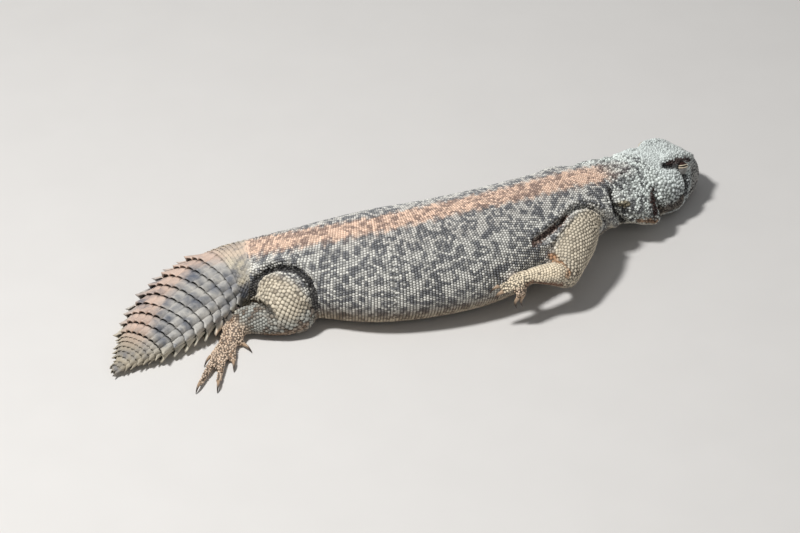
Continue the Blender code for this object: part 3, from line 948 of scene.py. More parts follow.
class Roots:
    """Where scales stand on the skin. A new one is kept only clear of those before it."""

    CELL = 2.0 * MM

    def __init__(self, skin, eyes):
        self.skin = skin
        self.eyes = eyes
        self.cells = {}
        self.points, self.lies, self.sizes, self.faces, self.kinds = [], [], [], [], []

    def clear_of_others(self, point, size):
        i, j, k = (int(c // self.CELL) for c in point)
        for a in (i - 1, i, i + 1):
            for b in (j - 1, j, j + 1):
                for c in (k - 1, k, k + 1):
                    for other, other_size in self.cells.get((a, b, c), ()):
                        gap = CLOSEST * 0.5 * (size + other_size)
                        if math.dist(point, other) < gap:
                            return False
        return True

    def clear_of_eyes(self, point):
        return all(math.dist(point, centre) > radius + EYE_CLEARANCE for centre, radius in self.eyes)

    def add(self, points, lies, sizes, kind, reach=1.6 * MM):
        find = self.skin.surface.find_nearest
        for point, lie, size in zip(points.tolist(), lies.tolist(), sizes.tolist()):
            place, _, face, distance = find(point)
            if place is None or distance > reach:
                continue
            place = tuple(place)
            if not self.clear_of_eyes(place) or not self.clear_of_others(place, size):
                continue
            cell = tuple(int(c // self.CELL) for c in place)
            self.cells.setdefault(cell, []).append((place, size))
            self.points.append(place)
            self.lies.append(lie)
            self.sizes.append(size)
            self.faces.append(face)
            self.kinds.append(kind)

    def arrays(self):
        return (
            np.array(self.points), np.array(self.lies), np.array(self.sizes),
            np.array(self.faces), np.array(self.kinds),
        )


def ring_points(surface, centre, ahead, gap, odd, rays=96, reach=0.05):
    """Evenly spaced points where a plane across an axis cuts a closed surface."""
    side = unit(np.cross(ahead, (0.0, 0.0, 1.0)))
    up = np.cross(side, ahead)
    outline = []
    for angle in np.linspace(0.0, 2 * np.pi, rays, endpoint=False):
        ray = side * math.cos(angle) + up * math.sin(angle)
        hit = surface.ray_cast(Vector(centre), Vector(ray), reach)[0]
        if hit is not None:
            outline.append(tuple(hit))
    if len(outline) < rays // 2:
        return np.empty((0, 3))
    outline = np.array(outline + outline[:1])
    passed = np.concatenate([[0.0], np.cumsum(np.linalg.norm(np.diff(outline, axis=0), axis=1))])
    count = max(int(round(passed[-1] / gap)), 4)
    at = (np.arange(count) + 0.5 * odd) / count * passed[-1]
    return np.stack([np.interp(at, passed, outline[:, c]) for c in range(3)], -1)


def ring_rows(roots, surface, centres, aheads, gap, size, kind):
    """Rows of scales round an axis, every other row shifted by half a scale."""
    for row, (centre, ahead) in enumerate(zip(centres, aheads)):
        points = ring_points(surface, centre, ahead, gap, row % 2)
        if len(points):
            lies = np.tile(-ahead, (len(points), 1))
            roots.add(points, lies, np.full(len(points), size), kind, ROW_REACH)


def node_surface(frame, names):
    mesh = joined_solids(frame, names, 0.0)
    points, faces = mesh_arrays(mesh)
    bpy.data.meshes.remove(mesh)
    return surface_of(points, faces), points


def body_rows(frame, roots):
    """Rows round the trunk, from the tail's root to the collar."""
    surface = node_surface(frame, ("tail_base", "trunk_rear", "trunk_front", "neck"))[0]
    size = SPACING["trunk"]
    stations = np.arange(RINGS_END + 0.5 * size, along("collar"), size * ROW_STEP)
    plan, ahead = midline(stations)
    centres = np.column_stack([plan, np.full(len(plan), ROW_HEIGHT)])
    aheads = np.column_stack([ahead, np.zeros(len(plan))])
    ring_rows(roots, surface, centres, aheads, size, size, "flank")


def limb_rows(frame, roots, name):
    """Rows round one length of a limb, along the long axis of its solid."""
    surface, points = node_surface(frame, (name,))
    middle = points.mean(0)
    axis = np.linalg.svd(points - middle, full_matrices=False)[2][0]
    reach = (points - middle) @ axis
    if name.startswith("upper_arm"):
        body = node_surface(frame, BODY_NODES)[0]
        near = [body.find_nearest(middle + axis * end)[3] for end in (reach.min(), reach.max())]
        if near[0] > near[1]:
            axis, reach = -axis, -reach
    if name.startswith("thigh"):
        ahead = midline(body_coordinates(middle[None])[0])[1][0]
        axis = unit(np.array([*ahead, -THIGH_LEAN]))
        reach = (points - middle) @ axis
    size = spacing_of(name)
    stations = np.arange(reach.min() + 0.3 * size, reach.max(), size * LIMB_ROW_STEP)
    centres = middle + stations[:, None] * axis
    spread = THIGH_SPREAD if name.startswith("thigh") else 1.0
    ring_rows(roots, surface, centres, np.tile(-axis, (len(centres), 1)), size, size * spread, "limb")


def toe_lies(frame, points, lies):
    """Lies along each toe, towards its claw."""
    claws = [claw_axis(frame, f"claw_{foot}_{n}") for foot in FOOT_NODES for n in range(1, 6)]
    ends = np.array([claw[0] for claw in claws])
    ways = np.array([claw[1] for claw in claws])
    apart = np.linalg.norm(points[:, None] - ends[None], axis=2)
    nearest = apart.argmin(1)
    return blend(lies, ways[nearest], faded(apart.min(1), TOE_EDGE))


def fill(frame, skin, roots):
    """Scales over the skin that no row has reached, spread evenly."""
    corners = skin.points[skin.faces]
    sides = corners[:, 1:] - corners[:, :1]
    areas = np.linalg.norm(np.cross(sides[:, 0], sides[:, 1]), axis=1)
    wanted = int(areas.sum() / 2 / TRIAL_SPACING**2)
    faces = random.choice(len(areas), wanted, p=areas / areas.sum())
    u, v = random.random((2, wanted))
    u, v = np.where(u + v > 1, 1 - u, u), np.where(u + v > 1, 1 - v, v)
    picked = corners[faces]
    points = picked[:, 0] + (picked[:, 1] - picked[:, 0]) * u[:, None]
    points = points + (picked[:, 2] - picked[:, 0]) * v[:, None]
    nodes = skin.node[skin.faces[faces, 0]]
    distance = body_coordinates(points)[0]
    bare = np.isin(nodes, TAIL_NODES) & (distance < RINGS_END)
    bare |= (np.abs(points[:, 2] - MOUTH_LEVEL) < MOUTH_BARE) & (distance > MOUTH_CORNER)
    for centre in skin.nostrils:
        bare |= np.linalg.norm(points - centre, axis=1) < NOSTRIL_BARE
    points, nodes, distance = points[~bare], nodes[~bare], distance[~bare]
    sizes = np.array([spacing_of(node) for node in nodes])
    cheek = seen_path(skin.surface, CHEEK_PATH)
    for path in (cheek, mirrored(cheek)):
        near = faded(path_distance(points, path)[0], CHEEK_EDGE)
        sizes = lerp(sizes, CHEEK_SIZE, near)
    ahead = midline(distance)[1]
    lies = np.column_stack([-ahead, np.zeros(len(points))])
    foot = np.isin(nodes, FOOT_NODES)
    lies[foot] = toe_lies(frame, points[foot], lies[foot])
    granular = np.isin(nodes, ("head", "lower_jaw", "neck"))
    for kind, chosen in (("granule", granular), ("foot", foot), ("flank", ~granular & ~foot)):
        roots.add(points[chosen], lies[chosen], sizes[chosen], kind)


# Scales: meshes

PATCH = 0.003


class Coat:
    """What every coat piece takes from the skin: colours, normals and its unwrap."""

    def __init__(self, skin, unwrap, colours):
        self.skin = skin
        self.unwrap = unwrap
        self.colours = colours

    def scales(self, name, kind, points, lies, sizes, faces, material):
        """One mesh of the scales of a kind, standing at these points. Sizes are the scales'
        across, along and height."""
        template, triangles, rise = TEMPLATES[kind]
        corners = self.skin.faces[faces]
        normals = unit(self.skin.normals[corners].mean(1))
        backs = unit(lies - (lies * normals).sum(1, keepdims=True) * normals)
        across = np.cross(backs, normals)
        shape = template[None] * sizes[:, None, :]
        placed = (
            points[:, None]
            + across[:, None] * shape[:, :, :1]
            + backs[:, None] * shape[:, :, 1:2]
            + normals[:, None] * shape[:, :, 2:]
        )
        return self.piece(name, placed, template[:, :2], triangles, rise, points, faces, material)

    def piece(self, name, placed, flat, triangles, rise, points, faces, material, broad=False):
        """One mesh of many scales of one kind, from the places of all their points. Flat is
        the kind's outline on the map, and points and faces are the scales' roots. Each broad
        plate takes the skin's colours all over, and a small scale those at its root."""
        count, size = placed.shape[:2]
        placed = placed.reshape(-1, 3)
        placed[:, 2] = np.maximum(placed[:, 2], SCALE_CLEARANCE)
        all_faces = (triangles[None] + size * np.arange(count)[:, None, None]).reshape(-1, 3)
        mesh = mesh_from(name, placed, all_faces)
        map_points = self.unwrap[faces * 3][:, None] + flat[None] * PATCH
        corners = map_points.reshape(-1, 2)[all_faces.ravel()]
        layer = mesh.uv_layers.new(name="OFBake")
        layer.uv.foreach_set("vector", corners.astype(np.float32).ravel())
        if broad:
            under = nearest_faces(self.skin, placed)[1]
            colours = [values[self.skin.faces[under][:, 0]] for values in self.colours]
            self.paint(mesh, np.repeat(points, size, 0), colours, np.tile(rise, count), 1)
        else:
            colours = [values[self.skin.faces[faces][:, 0]] for values in self.colours]
            self.paint(mesh, points, colours, rise, size)
        obj = add_object(name, mesh)
        mesh.materials.append(material)
        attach(obj, "root")
        return obj

    def paint(self, mesh, roots, colours, rise, repeat):
        ground, mark, share, gap = colours
        count = len(roots)
        opaque = np.ones((count, 1))
        set_values(mesh, "root", "FLOAT_VECTOR", np.repeat(roots, repeat, 0))
        set_values(mesh, "ground", "FLOAT_COLOR", np.repeat(np.hstack([ground, opaque]), repeat, 0))
        set_values(mesh, "mark", "FLOAT_COLOR", np.repeat(np.hstack([mark, opaque]), repeat, 0))
        set_values(mesh, "share", "FLOAT", np.repeat(share, repeat))
        set_values(mesh, "gap", "FLOAT", np.repeat(gap, repeat))
        set_values(mesh, "rise", "FLOAT", np.resize(rise, count * repeat))


def unwrapped(obj):
    """Unwraps the skin by its own shape, and returns the place of each corner on the map."""
    bpy.context.view_layer.objects.active = obj
    obj.select_set(True)
    obj.data.uv_layers.new(name="OFBake")
    bpy.ops.object.mode_set(mode="EDIT")
    bpy.ops.mesh.select_all(action="SELECT")
    bpy.ops.uv.smart_project(angle_limit=math.radians(66), island_margin=0.002)
    bpy.ops.object.mode_set(mode="OBJECT")
    places = np.empty(len(obj.data.loops) * 2, np.float32)
    obj.data.uv_layers["OFBake"].uv.foreach_get("vector", places)
    return places.reshape(-1, 2)


# The tail's whorls

RING_RAYS = 180
TAIL_END = 2.5 * MM
TAIL_ROUND = 4.2 * MM
PLATE_COLUMNS = 9
PLATE_BACKS = (0.0, 0.12, 0.30, 0.50, 0.70, 0.86, 1.0)
LIP_HEIGHT = 0.50
LIP_UNDERCUT = 0.13
LIP_SINK = 0.45 * MM
SIDE_TOOTH = 1.8 * MM
TOOTH_LIFT = 0.9 * MM
FEWEST_PLATES = 5
UNEVENNESS = 0.5
OVERLAP = 1.12
OUTLINE_ROUNDS = 6


def ring_outline(surface, distance):
    """Outline of the tail where a plane across it cuts the skin: points, outward directions,
    and the rearward direction."""
    beyond = max(TAIL_END - distance, 0.0)
    distance = max(distance, TAIL_END)
    plan, ahead = midline([distance])
    axis = np.array([*ahead[0], 0.0])
    side = np.array([axis[1], -axis[0], 0.0])
    half_width = rounded(MIDLINE_ALONG, MIDLINE_POINTS[:, 2], distance)
    top = surface.ray_cast(Vector((*plan[0], 0.05)), Vector((0, 0, -1)))[0]
    centre = np.array([*plan[0], (top.z if top else 0.002) * 0.45])
    points = []
    for angle in np.linspace(0.0, 2 * np.pi, RING_RAYS, endpoint=False):
        ray = side * math.cos(angle) + np.array([0.0, 0.0, math.sin(angle)])
        hit = surface.ray_cast(Vector(centre), Vector(ray), 0.03)[3]
        points.append(centre + ray * min(hit or half_width, half_width))
    points = np.array(points)
    for _ in range(OUTLINE_ROUNDS):
        points = (np.roll(points, 1, 0) + 2 * points + np.roll(points, -1, 0)) / 4
    outward = unit(np.cross(np.roll(points, -1, 0) - np.roll(points, 1, 0), axis))
    outward *= np.sign((outward * (points - centre)).sum(1))[:, None]
    shrink = math.sqrt(1.0 - min(beyond / TAIL_ROUND, 0.97) ** 2)
    return centre + (points - centre) * shrink - axis * beyond, outward, -axis


def around(values, at):
    """Values of a closed ring at places from 0 to the number of its rays."""
    low = np.floor(at).astype(int) % RING_RAYS
    share = (at - np.floor(at))[:, None]
    return values[low] * (1 - share) + values[(low + 1) % RING_RAYS] * share


def whorl(surface, front, pitch, width, stand, point, odd=0.0):
    """One ring of plates: each plate's points, and its root. The plates share their sides, and
    their rear edges stand over the next ring."""
    middle = ring_outline(surface, front - 0.5 * pitch)[0]
    steps = np.linalg.norm(np.roll(middle, -1, 0) - middle, axis=1)
    passed = np.concatenate([[0.0], np.cumsum(steps)])
    count = max(int(round(passed[-1] / width)), FEWEST_PLATES)
    across = np.linspace(-1.0, 1.0, PLATE_COLUMNS)
    lengths = (np.arange(count)[:, None] + odd + (across[None] + 1) / 2) / count * passed[-1]
    at = np.interp(lengths % passed[-1], passed, np.arange(RING_RAYS + 1)).ravel()
    keel = np.tile((1.0 - np.abs(across)) ** 1.3, count)
    gap = np.tile(np.abs(across) ** 8, count)
    uneven = np.repeat(1.0 + UNEVENNESS * (random.random(count) - 0.5), PLATE_COLUMNS)
    rows = []
    for back in PLATE_BACKS:
        points, outward, rear = ring_outline(surface, front - back * pitch * OVERLAP)
        outward = around(outward, at)
        sideways = step(0.0, 0.55, 1.0 - np.abs(outward[:, 2]))
        under = step(0.3, 0.8, -outward[:, 2])
        raised = stand * (1.0 - 0.55 * under) * (0.10 + 0.90 * back**1.35)
        raised = raised * (0.46 + 0.54 * keel - 0.34 * gap) * uneven
        tooth = keel**1.4 * back**3
        raised = raised + TOOTH_LIFT * sideways * tooth * min(stand / PLATE_HEIGHT, 1.0)
        reach = (SIDE_TOOTH * sideways * min(width / PLATE_WIDTH, 1.0) + point * width * 0.5) * tooth
        rows.append(around(points, at) + outward * raised[:, None] + rear * reach[:, None])
    drop = outward * (raised * (1.0 - LIP_HEIGHT))[:, None]
    rows.append(rows[-1] - drop - rear * LIP_UNDERCUT * pitch)
    inner = ring_outline(surface, front - 0.8 * pitch)
    rows.append(around(inner[0], at) - around(inner[1], at) * LIP_SINK)
    placed = np.stack([row.reshape(count, PLATE_COLUMNS, 3) for row in rows], 1)
    roots = placed[:, len(PLATE_BACKS) // 2, PLATE_COLUMNS // 2]
    return placed.reshape(count, -1, 3), roots


def plate_pattern():
    """The plates' outline on the map, triangles and rise. The rise is low at each plate's front and
    sides and lowest on its lip, so painted shadow darkens them.
    """
    across = np.linspace(-1.0, 1.0, PLATE_COLUMNS)
    backs = np.array([*PLATE_BACKS, 1.0, 0.9])
    x, v = np.meshgrid(across, backs)
    flat = np.stack([x * 0.5, v - 0.5], -1).reshape(-1, 2)
    rise = (0.30 + 0.70 * step(0.0, 0.45, v)) * (1.0 - 0.45 * np.abs(x) ** 8)
    # Painted shadow: the lip rows under each rear edge take the lowest rise.
    rise[len(PLATE_BACKS):] = 0.05
    return flat, np.array(grid_faces(len(backs), PLATE_COLUMNS)), rise.ravel()


# The rings from the tail's tip to its root: pointed scales, whorls of plates and narrow rings.
TIP_ROWS = 8
TIP_PITCH = 1.9 * MM
TIP_WIDTH = 1.9 * MM
TIP_HEIGHT = 0.7 * MM
TIP_POINT = 0.7
WHORL_START = 13.4 * MM
WHORL_PITCH = 4.6 * MM
WHORLS = 9
PLATE_WIDTH = 3.6 * MM
PLATE_HEIGHT = 1.9 * MM
PLATE_POINT = 0.25
NARROWEST_PLATE = 0.72
NARROW_WHORLS = 3
RINGS_START = WHORL_START + WHORLS * WHORL_PITCH
RINGS = 8
RING_PITCH = 1.3 * MM
RING_WIDTH = 1.7 * MM
RING_HEIGHT = 0.5 * MM
RING_POINT = 0.1
RINGS_END = RINGS_START + RINGS * RING_PITCH


def add_tail_armour(coat, material):
    """Three pieces: the pointed scales, the whorls of plates and the rings."""
    surface = coat.skin.surface
    tip, plates, rings = [], [], []
    for i in range(TIP_ROWS):
        front = WHORL_START - TIP_PITCH * (TIP_ROWS - 1 - i)
        tip.append(whorl(surface, front, TIP_PITCH, TIP_WIDTH, TIP_HEIGHT, TIP_POINT, i % 2 / 2))
    for i in range(WHORLS):
        front = WHORL_START + WHORL_PITCH * (i + 1)
        width = PLATE_WIDTH * min(lerp(NARROWEST_PLATE, 1.0, i / NARROW_WHORLS), 1.0)
        plates.append(whorl(surface, front, WHORL_PITCH, width, PLATE_HEIGHT, PLATE_POINT))
    for i in range(RINGS):
        front = RINGS_START + RING_PITCH * (i + 1)
        rings.append(whorl(surface, front, RING_PITCH, RING_WIDTH, RING_HEIGHT, RING_POINT, i % 2 / 2))
    flat, triangles, rise = plate_pattern()
    made_rows = {"tail_tip_scales": tip, "tail_plates": plates, "tail_rings": rings}
    for name, made in made_rows.items():
        placed = np.concatenate([row[0] for row in made])
        roots, faces = nearest_faces(coat.skin, np.concatenate([row[1] for row in made]))
        obj = coat.piece(name, placed, flat, triangles, rise, roots, faces, material, broad=True)


def nearest_faces(skin, points):
    """Each point moved onto the skin, with the face that it lands on."""
    found = [skin.surface.find_nearest(point) for point in points.tolist()]
    return np.array([tuple(hit[0]) for hit in found]), np.array([hit[2] for hit in found])


# Eyes, lids and claws

EYE_SHARE = 0.87
EYE_SETBACK = 1.0 * MM


def eye_centres():
    """Centre and radius of each eyeball, a little inside its CAD node."""
    found = []
    for name in EYE_NODES:
        low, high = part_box(name)
        centre = np.array((low + high) / 2)
        plan = midline([body_coordinates(centre[None])[0][0]])[0][0]
        inward = unit(np.array([*(plan - centre[:2]), 0.0]))
        found.append((centre + inward * EYE_SETBACK, (high.z - low.z) / 2 * EYE_SHARE))
    return found


def add_eye(name, centre, radius, material):
    shape = bmesh.new()
    bmesh.ops.create_uvsphere(shape, u_segments=48, v_segments=32, radius=radius)
    mesh = bpy.data.meshes.new(f"{name}_ball")
    shape.to_mesh(mesh)
    shape.free()
    mesh.shade_smooth()
    mesh.materials.append(material)
    ball = add_object(f"{name}_ball", mesh)
    ball.location = Vector(centre)
    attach(ball, "root")
    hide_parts(name)


# The lids cover the eyeball but for a slit, with a rolled pale rim each, and sink under the skin
# round the socket.
LID_THICKNESS = 0.30 * MM
RIM_THICKNESS = 0.34 * MM
LID_SPREAD = math.radians(66)
LID_REACH = math.radians(64)
LID_EDGE = (math.radians(40), math.radians(62))
LID_SINK = 0.8 * MM
LID_TONE = 0.7
BROW_SHADE_EDGE = (0.0, 1.2 * MM)
RIM_EDGE = (0.35, 0.8)
SLIT_OPENING = math.radians(4.5)
SLIT_LEVEL = math.radians(17)
SLIT_TILT = math.radians(-13)
LID_COLUMNS = 49
LID_BACKS = (0.0, 0.03, 0.07, 0.11, 0.16, 0.21, 0.27, 0.35, 0.45, 0.56, 0.68, 0.80, 0.90, 1.0)


def lid_points(centre, radius, axes, upper):
    """A lid as rows of points from its rolled rim at the slit back into the socket, with how
    much of the rim is in each."""
    outward, forward, up = axes
    rows, rims = [], []
    for back in LID_BACKS:
        rim = math.exp(-(((back - 0.09) / 0.075) ** 2))
        for azimuth in np.linspace(-LID_SPREAD, LID_SPREAD, LID_COLUMNS):
            slit = SLIT_LEVEL + SLIT_TILT * math.sin(azimuth)
            opening = SLIT_OPENING * (1.0 - (azimuth / LID_SPREAD) ** 2)
            start = slit + (opening if upper else -opening)
            turned = start + (LID_REACH if upper else -LID_REACH) * max(back - 0.05, 0.0)
            ray = (
                outward * math.cos(turned) * math.cos(azimuth)
                + forward * math.cos(turned) * math.sin(azimuth)
                + up * math.sin(turned)
            )
            away = math.acos(min(float(ray @ outward), 1.0))
            buried = float(step(*LID_EDGE, away))
            skin = LID_THICKNESS * min(back / 0.05, 1.0) + RIM_THICKNESS * rim * (1.0 - buried)
            rows.append(centre + ray * (radius + 0.03 * MM + skin - LID_SINK * buried))
            rims.append(rim * (1.0 - buried))
    return np.array(rows), np.array(rims)


def add_lids(name, centre, radius, side, coat, material):
    outward, forward, up = eye_axes(side)
    points, faces, rims = [], [], []
    for upper in (True, False):
        start = len(points) * len(LID_BACKS) * LID_COLUMNS
        made, rim = lid_points(centre, radius, (outward, forward, up), upper)
        points.append(made)
        rims.append(rim)
        for row in range(len(LID_BACKS) - 1):
            for i in range(LID_COLUMNS - 1):
                a = start + row * LID_COLUMNS + i
                quad = (a, a + 1, a + 1 + LID_COLUMNS, a + LID_COLUMNS)
                if upper == (side > 0):
                    quad = quad[::-1]
                faces += [(quad[0], quad[1], quad[2]), (quad[0], quad[2], quad[3])]
    points, rims = np.concatenate(points), np.concatenate(rims)
    mesh = mesh_from(f"{name}_lids", points, np.array(faces))
    count = len(points)
    # Painted shade: the lids' tops under the brow turn dark maroon.
    above = step(*BROW_SHADE_EDGE, (points - centre) @ up)
    ground = blend(COLOUR["snout"] * LID_TONE, COLOUR["shade_maroon"], above)
    ground = blend(ground, COLOUR["cream"], step(*RIM_EDGE, rims))
    even = np.full(count, 0.1)
    coat.paint(mesh, points, (ground, ground * LID_TONE, even, even), np.array([0.8]), 1)
    obj = add_object(f"{name}_lids", mesh)
    mesh.materials.append(material)
    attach(obj, "root")


CLAW_SIDES = 12
CLAW_ROWS = 12
CLAW_ROOT = 0.76 * MM
CLAW_TIP = 0.08 * MM
CLAW_BURIED = 0.6 * MM
CLAW_CLEARANCE = 0.05 * MM


def claw_axis(frame, name):
    """The root end of a claw's solid and its direction towards the point."""
    points = mesh_arrays(frame["nodes"][name].data)[0]
    middle = (points.min(0) + points.max(0)) / 2
    axis = np.linalg.svd(points - points.mean(0), full_matrices=False)[2][0]
    reach = (points - middle) @ axis
    spread = [
        np.linalg.norm((points - middle) - reach[:, None] * axis, axis=1)[chosen].mean()
        for chosen in (reach < np.median(reach), reach > np.median(reach))
    ]
    if spread[1] > spread[0]:
        axis, reach = -axis, -reach
    return middle + axis * reach.min(), axis, reach.max() - reach.min()


def add_claw(frame, name, material):
    root, axis, length = claw_axis(frame, name)
    side = unit(np.cross(axis, (0.0, 0.0, 1.0)))
    up = np.cross(side, axis)
    points = []
    for row in range(CLAW_ROWS):
        t = row / (CLAW_ROWS - 1)
        radius = CLAW_TIP + (CLAW_ROOT - CLAW_TIP) * (1.0 - t) ** 0.75
        arch = up * length * (0.16 * math.sin(math.pi * t) - 0.02)
        centre = root - axis * CLAW_BURIED + axis * (length + CLAW_BURIED) * t + arch
        for i in range(CLAW_SIDES):
            angle = 2 * math.pi * i / CLAW_SIDES
            ring = side * math.cos(angle) * 0.78 + up * math.sin(angle)
            points.append(centre + ring * radius)
    faces = grid_faces(CLAW_ROWS, CLAW_SIDES, closed=True)
    for start, turn in ((0, 1), ((CLAW_ROWS - 1) * CLAW_SIDES, -1)):
        for i in range(1, CLAW_SIDES - 1):
            faces.append((start, start + i + 1, start + i)[::turn])
    points = np.array(points)
    points[:, 2] = np.maximum(points[:, 2], CLAW_CLEARANCE)
    mesh = mesh_from(f"{name}_horn", points, np.array(faces))
    set_values(mesh, "rise", "FLOAT", np.repeat(np.linspace(0, 1, CLAW_ROWS), CLAW_SIDES))
    mesh.materials.append(material)
    obj = add_object(f"{name}_horn", mesh)
    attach(obj, "root")
    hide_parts(name)
    return root, axis


# Materials

def new_material(name):
    material = bpy.data.materials.new(name)
    material.use_nodes = True
    tree = material.node_tree
    return material, tree, tree.nodes["Principled BSDF"]


def add_node(tree, kind, **values):
    """A node with its settings. A value named in_X goes to the input at place X: a number, a
    colour or another node's output."""
    node = tree.nodes.new(kind)
    for key, value in values.items():
        if not key.startswith("in_"):
            setattr(node, key, value)
        elif isinstance(value, (int, float, tuple)):
            node.inputs[int(key[3:])].default_value = value
        else:
            tree.links.new(value, node.inputs[int(key[3:])])
    return node


def attribute(tree, name):
    return add_node(tree, "ShaderNodeAttribute", attribute_name=name)


def position_of(tree):
    return add_node(tree, "ShaderNodeNewGeometry").outputs["Position"]


def math_node(tree, operation, first, second):
    node = add_node(tree, "ShaderNodeMath", operation=operation, in_0=first, in_1=second)
    return node.outputs[0]


def ramp(tree, value, low, high, to_low=0.0, to_high=1.0):
    ends = {"in_1": low, "in_2": high, "in_3": to_low, "in_4": to_high}
    kind = "ShaderNodeMapRange"
    return add_node(tree, kind, interpolation_type="SMOOTHSTEP", in_0=value, **ends).outputs[0]


def mixed(tree, blend, share, first, second):
    colours = {"in_0": share, "in_6": first, "in_7": second}
    return add_node(tree, "ShaderNodeMix", data_type="RGBA", blend_type=blend, **colours).outputs[2]


def noise(tree, vector, scale, detail=2.0, roughness=0.55):
    values = {"in_0": vector, "in_2": scale, "in_3": detail, "in_4": roughness}
    return add_node(tree, "ShaderNodeTexNoise", **values).outputs[0]


# The markings: a net of winding lines on small scales, and soft patches on broad plates. The
# noises' scales are in cells per metre.
NET_SCALE = 210.0
NET_TURNS = 4.2
PATCH_SCALE = 120.0
PATCH_FALL = -3.0
CLOUD_SCALE = 70.0
CLOUD_SWING = 0.6
SOFTNESS = 0.48
GRAIN_SCALE = 5200.0
GRAIN_RANGE = (0.3, 0.7)
GRAIN_TONE = (0.86, 1.10)
GAP_SHADE_RISE = (0.05, 0.60)
SCALE_SPECK = 0.75
SCALE_TONE = (0.74, 1.18)
PLATE_SPECK = 0.20
PLATE_TONE = (0.92, 1.06)
BUMP_DISTANCE = 0.1 * MM


def net(tree, place):
    turns = 2 * math.pi * NET_TURNS
    wave = math_node(tree, "MULTIPLY", noise(tree, place, NET_SCALE, 1.5, 0.5), turns)
    wave = math_node(tree, "MULTIPLY", math_node(tree, "COSINE", wave, 0.0), 0.5)
    return math_node(tree, "ADD", wave, 0.5)


def patches(tree, place):
    away = math_node(tree, "SUBTRACT", noise(tree, place, PATCH_SCALE, 3.0, 0.55), 0.5)
    away = math_node(tree, "ABSOLUTE", away, 0.0)
    return math_node(tree, "ADD", math_node(tree, "MULTIPLY", away, PATCH_FALL), 1.0)


def swing(tree, value, size):
    """A value from 0 to 1 made to vary about 0 by this size in all."""
    return math_node(tree, "MULTIPLY", math_node(tree, "SUBTRACT", value, 0.5), size)


def marked_material(name, roughness, bump, broad_plates=False):
    """The animal's markings: per scale, a light or dark colour, and darker towards its edges
    and base as painted shade. On broad plates the markings run on within each plate."""
    material, tree, shader = new_material(name)
    links = tree.links
    root = attribute(tree, "root").outputs["Vector"]
    share = attribute(tree, "share").outputs["Fac"]
    single = add_node(tree, "ShaderNodeTexWhiteNoise", noise_dimensions="3D", in_0=root)
    chance = single.outputs[0]
    position = position_of(tree)
    place = position if broad_plates else root
    pattern = patches(tree, place) if broad_plates else net(tree, place)
    speck = swing(tree, chance, PLATE_SPECK if broad_plates else SCALE_SPECK)
    cloud = swing(tree, noise(tree, place, CLOUD_SCALE, 2.0, 0.5), CLOUD_SWING)
    varied = math_node(tree, "ADD", pattern, math_node(tree, "ADD", speck, cloud))
    low = math_node(tree, "SUBTRACT", share, SOFTNESS)
    high = math_node(tree, "ADD", share, SOFTNESS)
    light = ramp(tree, varied, low, high)
    ground = attribute(tree, "ground").outputs["Color"]
    mark = attribute(tree, "mark").outputs["Color"]
    colour = mixed(tree, "MIX", light, mark, ground)

    rise = attribute(tree, "rise").outputs["Fac"]
    gap = attribute(tree, "gap").outputs["Fac"]
    # Painted shade: each scale darkens from its top down towards its base, to the gaps' tone.
    lit = ramp(tree, rise, *GAP_SHADE_RISE, gap, 1.0)
    own_tone = ramp(tree, chance, 0.0, 1.0, *(PLATE_TONE if broad_plates else SCALE_TONE))
    fine = noise(tree, position, GRAIN_SCALE, 3.0, 0.6)
    tone = math_node(tree, "MULTIPLY", lit, own_tone)
    tone = math_node(tree, "MULTIPLY", tone, ramp(tree, fine, *GRAIN_RANGE, *GRAIN_TONE))
    shade = add_node(tree, "ShaderNodeCombineColor", in_0=tone, in_1=tone, in_2=tone)
    colour = mixed(tree, "MULTIPLY", 1.0, colour, shade.outputs[0])
    links.new(colour, shader.inputs["Base Color"])
    rough = ramp(tree, fine, *GRAIN_RANGE, roughness - 0.08, roughness + 0.10)
    links.new(rough, shader.inputs["Roughness"])
    bumps = add_node(tree, "ShaderNodeBump")
    bumps.inputs["Strength"].default_value = bump
    bumps.inputs["Distance"].default_value = BUMP_DISTANCE
    links.new(fine, bumps.inputs["Height"])
    links.new(bumps.outputs[0], shader.inputs["Normal"])
    shader.inputs["Specular IOR Level"].default_value = 0.35
    return material


def claw_share(tree):
    """0 at a claw's root and 1 at its point, with an uneven change between them."""
    rise = attribute(tree, "rise").outputs["Fac"]
    grain = math_node(tree, "MULTIPLY", noise(tree, position_of(tree), 2600.0, 3.0), 0.25)
    return ramp(tree, math_node(tree, "ADD", rise, grain), 0.35, 0.85)


def plain_material(name, share, first, second, roughness):
    """Two colours, mixed by a share that is made in the material's tree."""
    material, tree, shader = new_material(name)
    colour = mixed(tree, "MIX", share(tree), (*linear(*first), 1.0), (*linear(*second), 1.0))
    tree.links.new(colour, shader.inputs["Base Color"])
    shader.inputs["Roughness"].default_value = roughness
    return material


def grained_material(name, scale, first, second, roughness):
    def share(tree):
        return noise(tree, position_of(tree), scale)

    return plain_material(name, share, first, second, roughness)


# The studio

def add_light(name, direction, distance, size, power):
    """A square soft light shining at the middle of the model."""
    data = bpy.data.lights.new(name, "AREA")
    data.energy = power
    data.size = size
    light = bpy.data.objects.new(name, data)
    way = Vector(direction).normalized()
    light.location = way * distance
    light.rotation_euler = (-way).to_track_quat("-Z", "Y").to_euler()
    bpy.context.scene.collection.objects.link(light)


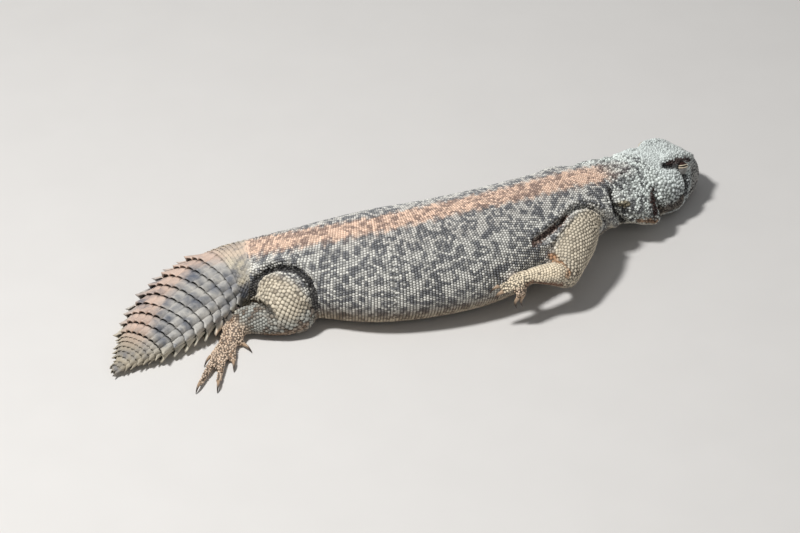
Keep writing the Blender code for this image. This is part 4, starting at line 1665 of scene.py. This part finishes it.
def add_studio():
    shape = bmesh.new()
    bmesh.ops.create_grid(shape, x_segments=1, y_segments=1, size=3.0)
    mesh = bpy.data.meshes.new("floor")
    shape.to_mesh(mesh)
    shape.free()
    floor = grained_material("pale_floor", 40.0, (214, 211, 207), (219, 216, 212), 0.9)
    mesh.materials.append(floor)
    add_object("floor", mesh)
    add_light("key", (-0.50, -0.06, 1.0), 0.9, 0.11, 7.9)
    add_light("fill", (0.25, -1.0, 0.6), 1.1, 0.8, 0.8)
    world = bpy.data.worlds.new("studio")
    bpy.context.scene.world = world
    world.use_nodes = True
    background = world.node_tree.nodes["Background"]
    background.inputs["Color"].default_value = (0.93, 0.96, 1.0, 1.0)
    background.inputs["Strength"].default_value = 0.20
    bpy.context.scene.view_settings.view_transform = "Standard"


def add_skin(skin, colours, material):
    mesh = mesh_from("skin", skin.points, skin.faces)
    obj = add_object("skin", mesh)
    unwrap = unwrapped(obj)
    coat = Coat(skin, unwrap, colours)
    # The skin between the scales takes the gaps' tone: partly darker skin, partly painted shade.
    coat.paint(mesh, skin.points, colours, np.array([0.04]), 1)
    mesh.materials.append(material)
    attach(obj, "root")
    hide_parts(*FLESH_NODES)
    return coat


MOST_TRIANGLES = 190000


def add_scales(coat, roots, material):
    """The rows and fillings, in pieces of one kind and region that stay small."""
    points, lies, sizes, faces, kinds = roots.arrays()
    nodes = coat.skin.node[coat.skin.faces[faces, 0]]
    regions = np.array([region_of(node) for node in nodes])
    for region in COAT_DEPTH:
        for kind in np.unique(kinds):
            chosen = np.flatnonzero((regions == region) & (kinds == kind))
            most = MOST_TRIANGLES // len(TEMPLATES[kind][1])
            for part, start in enumerate(range(0, len(chosen), most), 1):
                pick = chosen[start:start + most]
                jitter = 1.0 + 0.12 * (random.random((len(pick), 3)) - 0.5)
                obj = coat.scales(
                    f"scales_{region}_{kind}_{part}", kind,
                    points[pick], lies[pick], sizes[pick, None] * jitter, faces[pick], material,
                )


def build():
    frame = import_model()
    add_camera()
    add_studio()
    skin = Skin(frame)
    eyes = eye_centres()
    sculpt(skin, eyes)
    colours = markings(skin)
    scale_finish = marked_material("scales", 0.55, 0.25)
    plate_finish = marked_material("plates", 0.50, 0.30, True)
    skin_finish = marked_material("skin", 0.65, 0.35)
    coat = add_skin(skin, colours, skin_finish)
    add_tail_armour(coat, plate_finish)
    roots = Roots(skin, eyes)
    for name in LIMB_NODES:
        limb_rows(frame, roots, name)
    body_rows(frame, roots)
    fill(frame, skin, roots)
    add_scales(coat, roots, scale_finish)
    for (centre, radius), name, side in zip(eyes, EYE_NODES, (1, -1)):
        gloss = grained_material("eye_gloss", 3000.0, (38, 22, 14), (20, 12, 8), 0.22)
        add_eye(name, centre, radius, gloss)
        add_lids(name, centre, radius, side, coat, scale_finish)
    horn = plain_material("claw_horn", claw_share, (176, 150, 124), (52, 36, 26), 0.38)
    for foot in FOOT_NODES:
        for number in range(1, 6):
            add_claw(frame, f"claw_{foot}_{number}", horn)


build()
